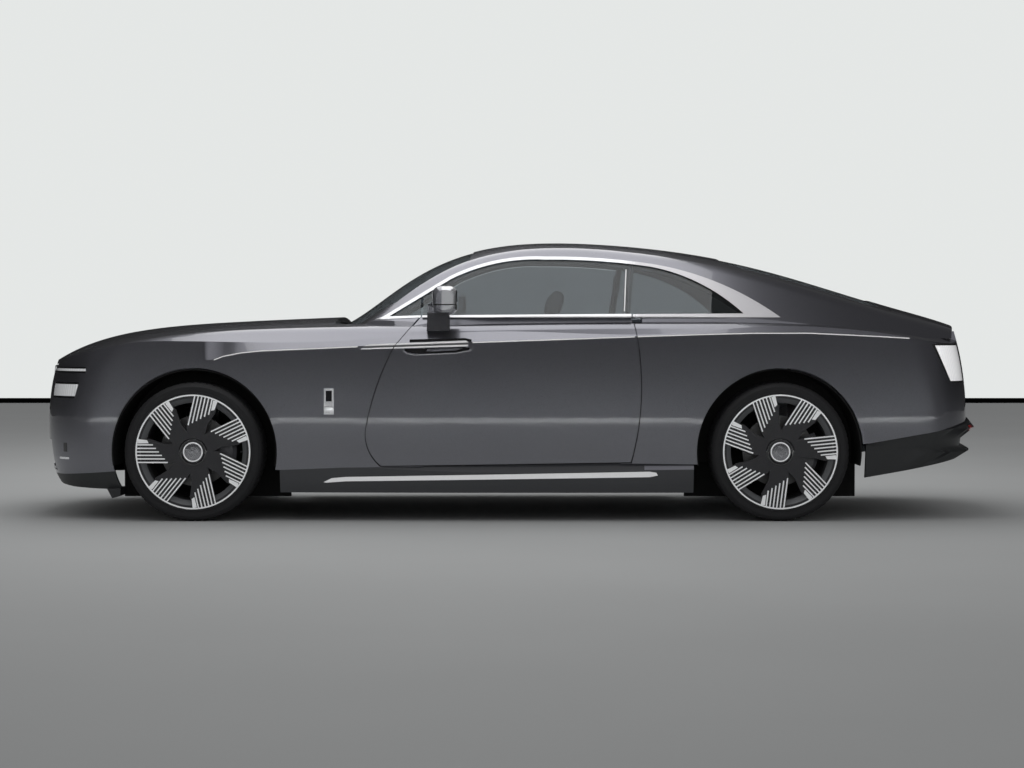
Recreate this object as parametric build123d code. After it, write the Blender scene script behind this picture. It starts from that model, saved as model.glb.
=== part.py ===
"""Large two-door fastback coupe with electric drive, as separate named sub-parts.

Millimetres. +X points to the tail, +Y to the car's right side, +Z up.  The origin lies on the
ground, in the middle of the overall length and width.
"""
from build123d import *
import os
from math import cos, hypot, radians, sin, sqrt

# ------------------------------------------------------------------ driving dimensions
FRONT_AXLE_X = -1737.0
REAR_AXLE_X = 1473.0
AXLE_Z = 380.0
TYRE_R = 380.0
RIM_R = 312.0
FRONT_TYRE_W = 255.0
REAR_TYRE_W = 285.0
WHEEL_FACE_Y = 968.0
ARCH_R = 458.0
LINER_R = 452.0
BELT_Z = 1116.0
FLOOR_Z = 300.0
SILL_BOTTOM = 155.0
DOOR_INNER_Y = 868.0
GAP = 5.0
SKIN = 30.0
KINGPIN_Y = 800.0
MIN_VOLUME = 2000.0
SPOKES = 7
RIBS = 6
RIB_PITCH = 19.2
RIB_W = 7.0
RIB_H = 6.0
RIB_LEAN = 13.0
REAR_WHEEL_TURN = 20.0
VANES = 24
VANE_PITCH = 40.0

# ------------------------------------------------------------------ body form, stacked plan outlines
# height, half width, nose, tail
PLAN_LEVELS = [
    (155, 950, -2588, 2560),
    (260, 980, -2652, 2602),
    (610, 1000, -2680, 2634),
    (870, 990, -2630, 2606),
    (1040, 974, -2530, 2564),
    (1620, 930, -2050, 2440),
]
NOSE_R, TAIL_R, SIDE_R = 2100.0, 2500.0, 26000.0
NOSE_CORNER_R, TAIL_CORNER_R, WIDEST_X = 430.0, 330.0, 150.0

# dark lower rear panel: height, half width, nose, tail
DIFFUSER_LEVELS = [
    (200, 930, -2560, 2440),
    (285, 955, -2600, 2512),
    (372, 975, -2630, 2652),
    (402, 972, -2630, 2600),
    (440, 984, -2640, 2606),
    (500, 990, -2650, 2681),
    (552, 992, -2655, 2640),
]

# top of the lower body: x, crown height, crown radius, crease y, crease z, shoulder lean, crest radius
DECK_STATIONS = [
    (-2720, 790, 3200, 1000, 640, 55, 120),
    (-2392, 990, 4200, 985, 860, 57, 120),
    (-1738, 1088, 6000, 985, 935, 56, 100),
    (-814, 1130, 6000, 981, 968, 38, 80),
    (486, 1156, 6000, 977, 1018, 29, 70),
    (1587, 1156, 5000, 977, 1037, 40, 110),
    (2197, 1106, 4000, 975, 1015, 50, 140),
    (2707, 956, 3400, 950, 860, 55, 150),
]
# upper body: x, crown height, crown radius, side foot y, side foot z, side lean, rail radius
CABIN_STATIONS = [
    (-1094, 1050, 3600, 918, 830, 50, 80),
    (-649, 1300, 2900, 909, 1040, 42, 90),
    (-134, 1524, 3100, 904, 1115, 38, 90),
    (238, 1556, 3500, 905, 1122, 38, 90),
    (589, 1543, 3400, 905, 1122, 38, 90),
    (1291, 1446, 3000, 888, 1110, 38, 120),
    (1991, 1249, 3200, 845, 1010, 44, 170),
    (2706, 1015, 3400, 780, 780, 50, 170),
]


def arc_centre(c0, r0, c1, r1, r, side):
    """Centre of the circle of radius r tangent inside both given circles, on the wanted X side."""
    d0, d1 = r0 - r, r1 - r
    dx, dy = c1[0] - c0[0], c1[1] - c0[1]
    d = hypot(dx, dy)
    a = (d0 * d0 - d1 * d1 + d * d) / (2 * d)
    h = sqrt(max(d0 * d0 - a * a, 0))
    foot = (c0[0] + a * dx / d, c0[1] + a * dy / d)
    both = [(foot[0] + k * h * dy / d, foot[1] - k * h * dx / d) for k in (1, -1)]
    return max(both, key=lambda p: p[0] * side)


def on_ray(c, through, r):
    """Point at distance r from c towards another point."""
    ux, uy = through[0] - c[0], through[1] - c[1]
    n = hypot(ux, uy)
    return (c[0] + ux * r / n, c[1] + uy * r / n)


def middle(p, q):
    return ((p[0] + q[0]) / 2, (p[1] + q[1]) / 2)


def plan_wire(z, half, nose, tail):
    """Closed plan outline of tangent arcs: nose, corners, flanks and tail."""
    c_nose = (nose + NOSE_R, 0.0)
    c_side = (WIDEST_X, half - SIDE_R)
    c_tail = (tail - TAIL_R, 0.0)
    c_a = arc_centre(c_nose, NOSE_R, c_side, SIDE_R, NOSE_CORNER_R, -1)
    c_b = arc_centre(c_side, SIDE_R, c_tail, TAIL_R, TAIL_CORNER_R, 1)
    a0, a1 = on_ray(c_nose, c_a, NOSE_R), on_ray(c_side, c_a, SIDE_R)
    b0, b1 = on_ray(c_side, c_b, SIDE_R), on_ray(c_tail, c_b, TAIL_R)
    a_mid = on_ray(c_a, middle(a0, a1), NOSE_CORNER_R)
    b_mid = on_ray(c_b, middle(b0, b1), TAIL_CORNER_R)
    s_mid = on_ray(c_side, middle(a1, b0), SIDE_R)

    def flip(p):
        return (p[0], -p[1])

    def arc(p, m, q):
        return ThreePointArc((*p, z), (*m, z), (*q, z))

    return Wire([
        arc(flip(a0), (nose, 0), a0), arc(a0, a_mid, a1), arc(a1, s_mid, b0), arc(b0, b_mid, b1),
        arc(b1, (tail, 0), flip(b1)), arc(flip(b1), flip(b_mid), flip(b0)),
        arc(flip(b0), flip(s_mid), flip(a1)), arc(flip(a1), flip(a_mid), flip(a0)),
    ])


def section_wire(x, top, crown, y_foot, z_foot, lean, rail, y_out, z_low):
    """Cross section: crowned top, rail arcs, leaning sides that pass through the foot point."""
    t = radians(lean)
    dy, dz = -sin(t), cos(t)
    ny, nz = -cos(t), -sin(t)
    py, pz = y_foot + rail * ny, z_foot + rail * nz - (top - crown)
    b = py * dy + pz * dz
    s = -b + sqrt(b * b - (py * py + pz * pz - (crown - rail) ** 2))
    centre = (y_foot + s * dy + rail * ny, z_foot + s * dz + rail * nz)
    t1 = (y_foot + s * dy, z_foot + s * dz)
    t2 = on_ray((0, top - crown), centre, crown)
    mid = on_ray(centre, middle(t1, t2), rail)
    foot = (y_out, z_foot - (y_out - y_foot) * dz / -dy)

    def p(q, side=1):
        return (x, side * q[0], q[1])

    low = (y_out, z_low)
    return Wire([
        Line(p(low, -1), p(low)), Line(p(low), p(foot)), Line(p(foot), p(t1)),
        ThreePointArc(p(t1), p(mid), p(t2)), ThreePointArc(p(t2), (x, 0, top), p(t2, -1)),
        ThreePointArc(p(t2, -1), p(mid, -1), p(t1, -1)), Line(p(t1, -1), p(foot, -1)),
        Line(p(foot, -1), p(low, -1)),
    ])


def plan_solid(inset=0.0):
    return Solid.make_loft([
        plan_wire(z, half - inset, nose + inset, tail - inset) for z, half, nose, tail in PLAN_LEVELS
    ])


def deck_solid(drop=0.0):
    return Solid.make_loft([
        section_wire(x, top - drop, crown, yf - drop, zf, lean, rail, 1260, 60)
        for x, top, crown, yf, zf, lean, rail in DECK_STATIONS
    ])


def cabin_solid(inset=0.0):
    return Solid.make_loft([
        section_wire(x, top - inset, crown, yf - inset, zf, lean, rail, yf - inset, 620)
        for x, top, crown, yf, zf, lean, rail in CABIN_STATIONS
    ])


# ------------------------------------------------------------------ small helpers
def block(x0, x1, y0, y1, z0, z1):
    return Pos((x0 + x1) / 2, (y0 + y1) / 2, (z0 + z1) / 2) * Box(x1 - x0, y1 - y0, z1 - z0)


def side_prism(edges, y0, y1):
    """Solid from an outline drawn in X and Z, between two Y planes."""
    face = Face(Wire(edges))
    return extrude(face, amount=y1 - y0, dir=(0, 1, 0)).moved(Location((0, y0, 0)))


def plan_prism(points, z0, z1):
    face = Face(Wire.make_polygon([Vector(x, y, z0) for x, y in points]))
    return extrude(face, amount=z1 - z0, dir=(0, 0, 1))


def poly_side(points, y0, y1):
    """Solid from a polygon drawn in X and Z, between two Y planes."""
    face = Face(Wire.make_polygon([Vector(x, 0, z) for x, z in points]))
    return extrude(face, amount=y1 - y0, dir=(0, 1, 0)).moved(Location((0, y0, 0)))


def cyl_y(x, z, r, y0, y1):
    return Pos(x, (y0 + y1) / 2, z) * Rot(90, 0, 0) * Cylinder(r, y1 - y0)


def mirrored(shape):
    return mirror(shape, about=Plane.XZ)


def both(shape):
    return Compound([*shape.solids(), *mirrored(shape).solids()])


def save(name, shape):
    solids = [s for s in shape.solids() if s.volume > MIN_VOLUME]
    out = solids[0] if len(solids) == 1 else Compound(solids)
    out.label = name
    export_step(out, f"parts/{name}.step")


def xz(*pts):
    return [(x, 0, z) for x, z in pts]


# ------------------------------------------------------------------ outlines
# lower edge of the painted panels: x, z
SILL_LINE = [(-3000, 236), (-2500, 244), (-2190, 268), (-1240, 281), (-930, 294), (655, 318), (1030, 312),
             (1400, 300), (3000, 300)]
SCREEN_PLAN = [(-1060, 0), (-1010, -420), (-900, -660), (-640, -770), (-230, -610), (-205, 0),
               (-230, 610), (-640, 770), (-900, 660), (-1010, 420)]
REAR_GLASS_PLAN = [(1180, 0), (1200, -440), (1290, -545), (2000, -600), (2075, -540), (2085, 0),
                   (2075, 540), (2000, 600), (1290, 545), (1200, 440)]
BOOT_PLAN = [(2150, -560), (2150, 560), (2900, 560), (2900, -560)]
CABIN_PLAN = [(-1000, -715), (-640, -862), (-480, -903), (1000, -903), (1500, -880), (2000, -845),
              (2350, -815), (2900, -770)]
WING_PLAN = [(-2900, -1300), (-480, -1300), (-480, -720), (-1015, -720), (-1015, -500), (-2900, -500)]
QUARTER_PLAN = [(600, -1300), (600, -700), (2145, -700), (2145, -565), (3000, -565), (3000, -1300)]
FRONT_BUMPER_SIDE = [(-3000, 0), (-3000, 850), (-2350, 850), (-2200, 856), (-2080, 850), (-1995, 832),
                     (-1975, 700), (-1975, 0)]
LIP_SIDE = [(-2750, 236), (-2500, 244), (-2190, 268), (-2150, 268), (-2150, 168), (-2300, 170), (-2440, 174),
            (-2530, 184), (-2600, 204), (-2665, 232)]
REAR_BUMPER_SIDE = [(3000, 554), (3000, 742), (2450, 726), (2290, 705), (1900, 640), (1900, 419),
                    (2450, 512), (2600, 554)]
DIFFUSER_SIDE = [(1950, 100), (3000, 100), (3000, 600), (2625, 548), (2450, 507), (1950, 422)]
LOW_LAMP_SIDE = [(-2900, 757), (-2386, 757), (-2413, 670), (-2900, 670)]
TAIL_LAMP_SIDE = [(2317, 966), (2345, 972), (2900, 972), (2900, 754), (2450, 754), (2420, 768)]
SPEAR_SIDE = [(-820, 940), (-800, 960), (-772, 968), (-244, 989), (-231, 980), (-233, 957)]
HANDLE_POCKET_SIDE = [(-585, 944), (-233, 955), (-214, 950), (-222, 936), (-300, 922), (-525, 912), (-566, 921),
                      (-586, 934)]
SILL_BLADE_SIDE = [(-1025, 214), (-980, 236), (-903, 243), (758, 273), (795, 267), (803, 252), (758, 243),
                   (-903, 219), (-1010, 211)]
PILLAR_SIDE = [(609, 1122), (653, 1122), (700, 1480), (662, 1480)]
DOOR_GLASS_SIDE = [(-484, BELT_Z), (628, BELT_Z), (676, 1480), (-484, 1480)]
REAR_PANE_SIDE = [(634, 1142), (677, 1142), (677, 1000), (1400, 1000), (1400, 1480), (684, 1480)]
MIRROR_FOOT_SIDE = [(-458, 1040), (-452, 1185), (-430, 1200), (-345, 1150), (-332, 1120), (-332, 1040)]
# door mirror sections from the door outwards: y, width, height, corner radius
MIRROR_SECTIONS = [(-958, 104, 112, 40), (-1000, 132, 148, 46), (-1060, 138, 152, 48), (-1118, 92, 108, 40)]


def sill_z(x):
    """Height of the painted panels' lower edge at x."""
    spans = zip(SILL_LINE, SILL_LINE[1:])
    return next(z0 + (z1 - z0) * (x - x0) / (x1 - x0) for (x0, z0), (x1, z1) in spans if x <= x1)


def door_edges(grow=0.0):
    """Door outline in X and Z; grow moves it outwards all round."""
    g = grow
    front = xz((-500 - g, BELT_Z), (-572 - g, 1030), (-634 - g, 955))
    knee = xz((-634 - g, 955), (-729 - g, 740), (-785 - g, 530))
    toe = xz((-785 - g, 530), (-779 - g, 400), (-708 - g, sill_z(-708) + 7 - g))
    rear = xz((655 + g, sill_z(655) + 7 - g), (709 + g, 800), (664 + g, BELT_Z))
    return [
        ThreePointArc(*front), ThreePointArc(*knee), ThreePointArc(*toe),
        Line(toe[2], rear[0]), ThreePointArc(*rear), Line(rear[2], front[0]),
    ]


def window_edges():
    """Outer edge of the bright side window surround, screen pillar to tail point."""
    p = xz((-753, 1105), (-706, 1121), (-340, 1346), (-60, 1441), (190, 1458), (480, 1450), (775, 1418),
           (1140, 1315), (1485, BELT_Z), (-490, BELT_Z))
    return [
        Line(p[0], p[1]), Line(p[1], p[2]), ThreePointArc(p[2], p[3], p[4]), ThreePointArc(p[4], p[5], p[6]),
        ThreePointArc(p[6], p[7], p[8]), Line(p[8], p[9]), Line(p[9], p[0]),
    ]


def pane_edges(inset=0.0, low=None):
    """Visible side glass inside the surround; low lowers its bottom edge to one height."""
    i = inset
    z_front, z_mid, z_tail = (1122, 1127, 1138) if low is None else (low, low, low)
    x_front = -331 - (1331.5 - z_front) / 0.6148
    p = xz((x_front + 2 * i, z_front), (-331 + 0.5 * i, 1331.5 - 0.85 * i), (-60, 1424 - i), (190, 1441 - i),
           (480, 1433 - i), (775 - 0.3 * i, 1401 - i), (1040 - 0.6 * i, 1311 - 0.8 * i),
           (1280 - 1.3 * i, 1138), (1280 - 1.3 * i, z_tail - 0.5), (-490, z_mid))
    return [
        Line(p[0], p[1]), ThreePointArc(p[1], p[2], p[3]), ThreePointArc(p[3], p[4], p[5]),
        ThreePointArc(p[5], p[6], p[7]), Line(p[7], p[8]), Line(p[8], p[9]), Line(p[9], p[0]),
    ]


def bonnet_prism(grow, z0, z1):
    """Bonnet outline in plan, moved outwards by grow, between two heights."""
    g = grow
    half = [(-2900, -520 - g), (-2615, -520 - g), (-2545, -608 - g), (-2420, -686 - g), (-1750, -728 - g),
            (-1010, -715 - g), (-985 + g, -690 - g)]
    a = [(x, y, z0) for x, y in half]
    b = [(x, -y, z0) for x, y in half]
    edges = []
    for p in (a, b):
        edges += [Line(p[0], p[1]), ThreePointArc(p[1], p[2], p[3]), ThreePointArc(p[3], p[4], p[5]),
                  Line(p[5], p[6])]
    edges += [Line(a[6], b[6]), Line(b[0], a[0])]
    return extrude(Face(Wire(edges)), amount=z1 - z0, dir=(0, 0, 1))


def grow_plan(points, g):
    """Moves a plan outline outwards from its middle, by about g."""
    cx = (min(p[0] for p in points) + max(p[0] for p in points)) / 2
    hx = (max(p[0] for p in points) - min(p[0] for p in points)) / 2
    hy = max(p[1] for p in points)
    return [(cx + (x - cx) * (1 + g / hx), y * (1 + g / hy)) for x, y in points]


# ------------------------------------------------------------------ outer forms
PLAN = plan_solid()
PLAN_INNER = plan_solid(SKIN)
HULL = PLAN & deck_solid()
CABIN_PRISM = plan_prism(CABIN_PLAN + [(x, -y) for x, y in reversed(CABIN_PLAN)], 500, 1700)
HULL_SHELL = HULL - (PLAN_INNER & deck_solid(SKIN))
SHELL = HULL_SHELL - CABIN_PRISM
CABIN_INNER = cabin_solid(40)
CABIN_SHELL = cabin_solid() - CABIN_INNER
PANE_SHELL = cabin_solid(6) - cabin_solid(14)
ROOF_SHELL = CABIN_SHELL & CABIN_PRISM & (Pos(54, 0, 1100) * Cylinder(2500, 1600))
FRONT_ARCH = cyl_y(FRONT_AXLE_X, AXLE_Z, ARCH_R, -1300, -500)
REAR_ARCH = cyl_y(REAR_AXLE_X, AXLE_Z, ARCH_R, -1300, -500)
UNDER = poly_side(SILL_LINE + [(3000, -300), (-3000, -300)], -1300, 1300)


def front_wing():
    """Left front wing from the bumper line to the door, outboard of the bonnet."""
    wing = SHELL & plan_prism(WING_PLAN, 0, 1300)
    return wing.cut(bonnet_prism(GAP, 500, 1400), UNDER, side_prism(door_edges(GAP), -1300, -300),
                    poly_side(FRONT_BUMPER_SIDE, -1300, 300), FRONT_ARCH)


def quarter_panel():
    """Left rear quarter from the door to the tail, outboard of the boot lid."""
    panel = SHELL & plan_prism(QUARTER_PLAN, 0, 1300)
    panel = panel + (HULL_SHELL & block(2160, 3000, -900, -565, FLOOR_Z, 1000))
    return panel.cut(UNDER, poly_side(REAR_BUMPER_SIDE, -1300, 300), poly_side(DIFFUSER_SIDE, -1300, 300),
                     block(1890, 1960, -1300, -500, 0, 424), side_prism(door_edges(GAP), -1300, -300),
                     REAR_ARCH, poly_side(TAIL_LAMP_SIDE, -1300, -690))


def door_aperture():
    """Left door posts and sill flange round the door opening."""
    band = side_prism(door_edges(65), -932, -DOOR_INNER_Y) - side_prism(door_edges(GAP), -1000, -800)
    return band & block(-1200, 1200, -1000, -800, FLOOR_Z - 10, 940)


def roof_frame():
    """Roof, screen pillars and tail pillars, with windows, screens and boot opening cut."""
    return ROOF_SHELL.cut(
        side_prism(window_edges(), -1300, 1300), plan_prism(SCREEN_PLAN, 900, 1700),
        plan_prism(REAR_GLASS_PLAN, 900, 1700), plan_prism(grow_plan(BOOT_PLAN, GAP), 500, 1400),
        block(-508, 720, -1300, 1300, 500, BELT_Z + 3), block(-3000, 3000, -1300, 1300, 500, 1000),
        side_prism(door_edges(GAP), -1300, 1300), block(-1200, -985, -1300, 1300, 500, 1400))


def front_bumper():
    """Front skin with the grille and intake openings and the lamp pockets."""
    pockets = [side for lamp in lamp_regions() for side in (lamp, mirrored(lamp))]
    openings = [block(-3000, -2000, -512, 512, 548, 900), block(-3000, -2000, -640, 640, 262, 432)]
    skin = HULL_SHELL & poly_side(FRONT_BUMPER_SIDE, -1300, 1300)
    return skin.cut(UNDER, FRONT_ARCH, mirrored(FRONT_ARCH), bonnet_prism(GAP, 846, 1400), *openings, *pockets)


def lip_solid():
    """Dark chin under the front bumper."""
    lip = HULL_SHELL & poly_side(LIP_SIDE, -1300, 1300)
    spoiler = poly_side([(-2224, 174), (-2196, 120), (-2150, 132), (-2150, 174)], -880, -700)
    return lip.cut(FRONT_ARCH, mirrored(FRONT_ARCH)) + spoiler + mirrored(spoiler)


def rear_bumper():
    bumper = HULL_SHELL & poly_side(REAR_BUMPER_SIDE, -1300, 1300)
    return bumper.cut(REAR_ARCH, mirrored(REAR_ARCH), plan_prism(grow_plan(BOOT_PLAN, GAP), 740, 1400))


def diffuser():
    """Dark lower rear panel with its projecting lip."""
    levels = [plan_wire(*row) for row in DIFFUSER_LEVELS]
    inner = [plan_wire(z, half - SKIN, nose, tail - SKIN) for z, half, nose, tail in DIFFUSER_LEVELS]
    shell = Solid.make_loft(levels, True) - Solid.make_loft(inner, True)
    return shell & poly_side(DIFFUSER_SIDE, -1300, 1300)


def grille():
    """Upright grille, leaning back a little: surround and vertical vanes on the nose curve."""
    band = Pos(NOSE_R, 0, 100) * (Cylinder(NOSE_R, 600) - Cylinder(NOSE_R - 62, 600))
    inner = Pos(NOSE_R, 0, 100) * (Cylinder(NOSE_R - 8, 600) - Cylinder(NOSE_R - 55, 600))
    frame = (band & block(-50, 300, -512, 512, -38, 250)) - block(-50, 300, -482, 482, -14, 222)
    places = [(i - (VANES - 1) / 2) * VANE_PITCH for i in range(VANES)]
    vanes = [inner & block(-50, 300, y - 7, y + 7, -16, 224) for y in places]
    return (Pos(-2676.4, 0, 600) * Rot(0, 7, 0)) * frame.fuse(*vanes)


def lower_grille():
    """Low intake: level bars in front of a closed back wall, on the nose curve."""
    region = block(-NOSE_R - 45, -NOSE_R + 355, -640, 640, -147, 153)
    wall = Cylinder(NOSE_R - 30, 170) - Cylinder(NOSE_R - 40, 170)
    bar = (Cylinder(NOSE_R, 10) - Cylinder(NOSE_R - 31, 10)) & region
    bars = [bar.moved(Location((0, 0, (i - 2) * 35.5))) for i in range(5)]
    return Pos(NOSE_R - 2655, 0, 347) * (wall & region).fuse(*bars)


def bonnet():
    return HULL_SHELL & bonnet_prism(0, 856, 1400)


def boot_lid():
    lid = (ROOF_SHELL & plan_prism(BOOT_PLAN, 700, 1400)) + (tail_panel() & plan_prism(BOOT_PLAN, 700, 1400))
    return lid - block(1900, 3000, -1300, 1300, 0, 748)


def tail_panel():
    """Back panel of the tail below the deck."""
    return (PLAN & block(2100, 3000, -700, 700, 700, 1040)) - PLAN_INNER


def door():
    """Left door below the window line, as thick as the whole door, with the pocket behind its handle."""
    core = side_prism(door_edges(-16), -1300, -DOOR_INNER_Y)
    skin = HULL_SHELL & side_prism(door_edges(), -1300, -DOOR_INNER_Y)
    rail = CABIN_SHELL & side_prism(door_edges(-6), -1300, -300) & block(-900, 900, -1300, -300, 900, 1300)
    return ((HULL & core) + skin + rail) - poly_side(HANDLE_POCKET_SIDE, -1300, -957)


def door_glass():
    region = side_prism(pane_edges(GAP, BELT_Z), -1300, -300)
    return PANE_SHELL & (region & poly_side(DOOR_GLASS_SIDE, -1300, -300))


def quarter_glass():
    """Left fixed panes: behind the door glass and ahead of it."""
    panes = side_prism(pane_edges(), -1300, -300)
    rear = PANE_SHELL & (panes & poly_side(REAR_PANE_SIDE, -1300, -300))
    front = PANE_SHELL & (panes & block(-700, -497, -1300, -300, 1100, 1300))
    return Compound([*rear.solids(), *front.solids()])


def window_trim():
    """Left bright window surround on the body, with its blade at the tail."""
    ring = side_prism(window_edges(), -1300, -300) - side_prism(pane_edges(), -1300, -300)
    ring = ring - block(-496, 669, -1300, -300, 900, BELT_Z + 46)
    return (cabin_solid(-3) - cabin_solid(19)) & ring


def pillar_trim():
    """Left dark centre pillar behind the two panes."""
    region = poly_side(PILLAR_SIDE, -1300, -300) & side_prism(window_edges(), -1300, -300)
    return (cabin_solid(19) - CABIN_INNER) & region


def mirror_head():
    """Left door mirror: rounded head on a dark foot that stands on the door's shoulder."""
    foot = poly_side(MIRROR_FOOT_SIDE, -990, -918) - HULL - cabin_solid(-14.5)
    sections = []
    for y, width, height, corner in MIRROR_SECTIONS:
        face = Plane((-356, y, 1208), x_dir=(1, 0, 0), z_dir=(0, -1, 0)) * RectangleRounded(width, height, corner)
        sections.append(face.face().outer_wire())
    head = Solid.make_loft(sections) - block(-292, -200, -1200, -900, 1100, 1300)
    return foot + head


def spear():
    """Handle spear that stands proud of the left flank."""
    return (plan_solid(-8) & poly_side(SPEAR_SIDE, -1300, -500)) - HULL


def door_trim():
    """Left door brightwork: belt strip and the door's length of the handle spear."""
    strip = poly_side([(-487, BELT_Z), (661, BELT_Z), (661, 1135), (-487, 1127)], -1300, -300)
    strip = (cabin_solid(-14) - cabin_solid(5.5)) & strip
    handle = spear() & side_prism(door_edges(), -1300, -300)
    return Compound([*strip.solids(), *handle.solids()])


def wing_trim():
    """Front end of the left handle spear, on the wing."""
    return spear() - side_prism(door_edges(GAP), -1300, -300)


def sill_blade():
    return (plan_solid(-8) & poly_side(SILL_BLADE_SIDE, -1300, -500)) - PLAN


# ------------------------------------------------------------------ lamps
def lamp_regions():
    """Places of the left front lamps: slim upper one and low main one."""
    return [block(-2900, -2345, -1300, -530, 808, 842), poly_side(LOW_LAMP_SIDE, -1300, -655)]


def headlamps():
    lenses = [lens for region in lamp_regions() for lens in (HULL_SHELL & region).solids()]
    return Compound([s for lens in lenses for s in both(lens).solids()])


def tail_lamp():
    return HULL_SHELL & poly_side(TAIL_LAMP_SIDE, -1300, -690)


# ------------------------------------------------------------------ cabin
def seat(y, x=-120.0, width=540.0):
    base = fillet(block(x - 260, x + 260, y - width / 2, y + width / 2, FLOOR_Z, 560).edges(), 40)
    back = Pos(x + 270, y, 830) * Rot(0, 18, 0) * Box(130, width - 20, 640)
    head = Pos(x + 385, y, 1190) * Rot(0, 18, 0) * Box(90, 260, 170)
    return base + fillet(back.edges(), 40) + fillet(head.edges(), 30)


def rear_seat():
    base = fillet(block(660, 1080, -600, 600, FLOOR_Z, 560).edges(), 40)
    back = Pos(1130, 0, 800) * Rot(0, 24, 0) * Box(130, 1180, 620)
    return base + fillet(back.edges(), 40)


def dashboard():
    """Dash roll with its hood and screen, and the tunnel that carries them."""
    top = fillet(block(-960, -650, -780, 780, 800, 985).edges().filter_by(Axis.Y), 60)
    hood = fillet(block(-900, -640, -600, -200, 960, 1030).edges().filter_by(Axis.Y), 28)
    tunnel = fillet(block(-760, 560, -130, 130, FLOOR_Z, 620).edges().filter_by(Axis.X), 40)
    stack = Pos(-760, 0, 700) * Rot(0, -24, 0) * Box(120, 250, 380)
    console = block(-960, -700, -125, 125, FLOOR_Z, 820)
    column = Pos(-640, -400, 928) * Rot(0, 68, 0) * Cylinder(32, 120)
    return top + hood + tunnel + (stack & block(-1000, -560, -130, 130, 400, 900)) + console + column


def steering_wheel():
    section = [(175 + 15 * cos(radians(a)), 15 * sin(radians(a))) for a in range(0, 360, 60)]
    ring = revolve(Face(Wire.make_polygon([Vector(r, 0, z) for r, z in section])), Axis.Z)
    spokes = Box(340, 40, 16) + (Pos(0, -85, 0) * Box(40, 170, 16))
    return ring + spokes + Cylinder(62, 40)


# ------------------------------------------------------------------ wheels and running gear
def tyre(width):
    """Tyre about the Y axis, centred on its own middle plane."""
    h = width / 2
    half = [(RIM_R - 30, h - 40), (RIM_R - 8, h - 12), (RIM_R + 18, h), (TYRE_R - 22, h - 2), (TYRE_R, h - 26)]
    pts = half + [(r, -y) for r, y in reversed(half)]
    return revolve(Face(Wire.make_polygon([Vector(r, y, 0) for r, y in pts])), Axis.Y)


def wheel_spoke():
    """One swept spoke with its bright ribs, outer face in the plane y = 0."""
    base = [(284, -62), (284, 64), (238, 72), (160, 44), (60, 44), (60, -50), (130, -64)]
    face = Face(Wire.make_polygon([Vector(v, RIB_H, u) for u, v in base]))
    out = extrude(face, amount=18, dir=(0, 1, 0)) & cyl_y(0, 0, RIM_R - 21, 0, 40)
    for i in range(RIBS):
        v = (i - 3) * RIB_PITCH
        out = out + block(v - RIB_W / 2, v + RIB_W / 2, 0, RIB_H, 137 + 16.2 * i, 320)
    tab = [(300, 46), (300, 70), (250, 64), (242, 47)]
    out = out + extrude(Face(Wire.make_polygon([Vector(v, 0, u) for u, v in tab])), amount=RIB_H, dir=(0, 1, 0))
    return Rot(0, RIB_LEAN, 0) * (out & cyl_y(0, 0, RIM_R - 6, -1, 40))


def wheel_face():
    """Spokes, hub and cap of a wheel, outer face in the plane y = 0."""
    spoke = wheel_spoke()
    hub = cyl_y(0, 0, 100, RIB_H + 2, 60) + cyl_y(0, 0, 70, 40, 130)
    cap = cyl_y(0, 0, 54, 0, 20) - cyl_y(0, 0, 47, -1, 3)
    disc = cyl_y(0, 0, 195, 118, 148)
    return [hub + cap + disc] + [Rot(0, i * 360 / SPOKES, 0) * spoke for i in range(SPOKES)]


def rim(width, face, turn):
    """Seven-spoke rim, outer face towards -Y, with hub and brake disc."""
    h = width / 2
    barrel = [(RIM_R - 8, -h + 12), (RIM_R + 2, -h + 7.38), (RIM_R + 2, -h), (RIM_R - 6, -h), (RIM_R - 6, -h + 6),
              (RIM_R - 18, -h + 6), (RIM_R - 44, -h + 34), (RIM_R - 44, h - 10), (RIM_R - 8, h - 8),
              (RIM_R - 8, h - 12), (RIM_R - 30, h - 40), (RIM_R - 30, -h + 40)]
    body = revolve(Face(Wire.make_polygon([Vector(a, y, 0) for a, y in barrel])), Axis.Y)
    placed = [Pos(0, -h, 0) * Rot(0, turn, 0) * piece for piece in face]
    return body.fuse(*placed) - cyl_y(0, 0, 20.06, -h + 70, -h + 160)


def upright(axle_x):
    """Left wheel carrier with its spindle."""
    y = -KINGPIN_Y
    post = block(-40, 40, y - 8, y + 44, -150, 180)
    spindle = cyl_y(0, 0, 20, -WHEEL_FACE_Y + 74, y)
    return (post + spindle).moved(Location((axle_x, 0, AXLE_Z)))


def knuckle():
    """Left steered wheel carrier with its kingpin bores."""
    low = Pos(FRONT_AXLE_X, -KINGPIN_Y + 18, AXLE_Z - 125) * Cylinder(12.06, 60)
    high = Pos(FRONT_AXLE_X, -KINGPIN_Y + 18, AXLE_Z + 155) * Cylinder(12.06, 60)
    return upright(FRONT_AXLE_X) - low - high


def front_arms():
    """Left suspension arms with the pins that the wheel carrier turns on."""
    x, y = FRONT_AXLE_X, -KINGPIN_Y + 18
    low = block(x - 30, x + 30, y - 20, -300, AXLE_Z - 185, AXLE_Z - 156)
    high = block(x - 24, x + 24, y - 20, -300, AXLE_Z + 186, AXLE_Z + 210)
    low_pin = Pos(x, y, AXLE_Z - 140) * Cylinder(12, 60)
    high_pin = Pos(x, y, AXLE_Z + 170) * Cylinder(12, 60)
    return low + high + low_pin + high_pin


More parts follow.
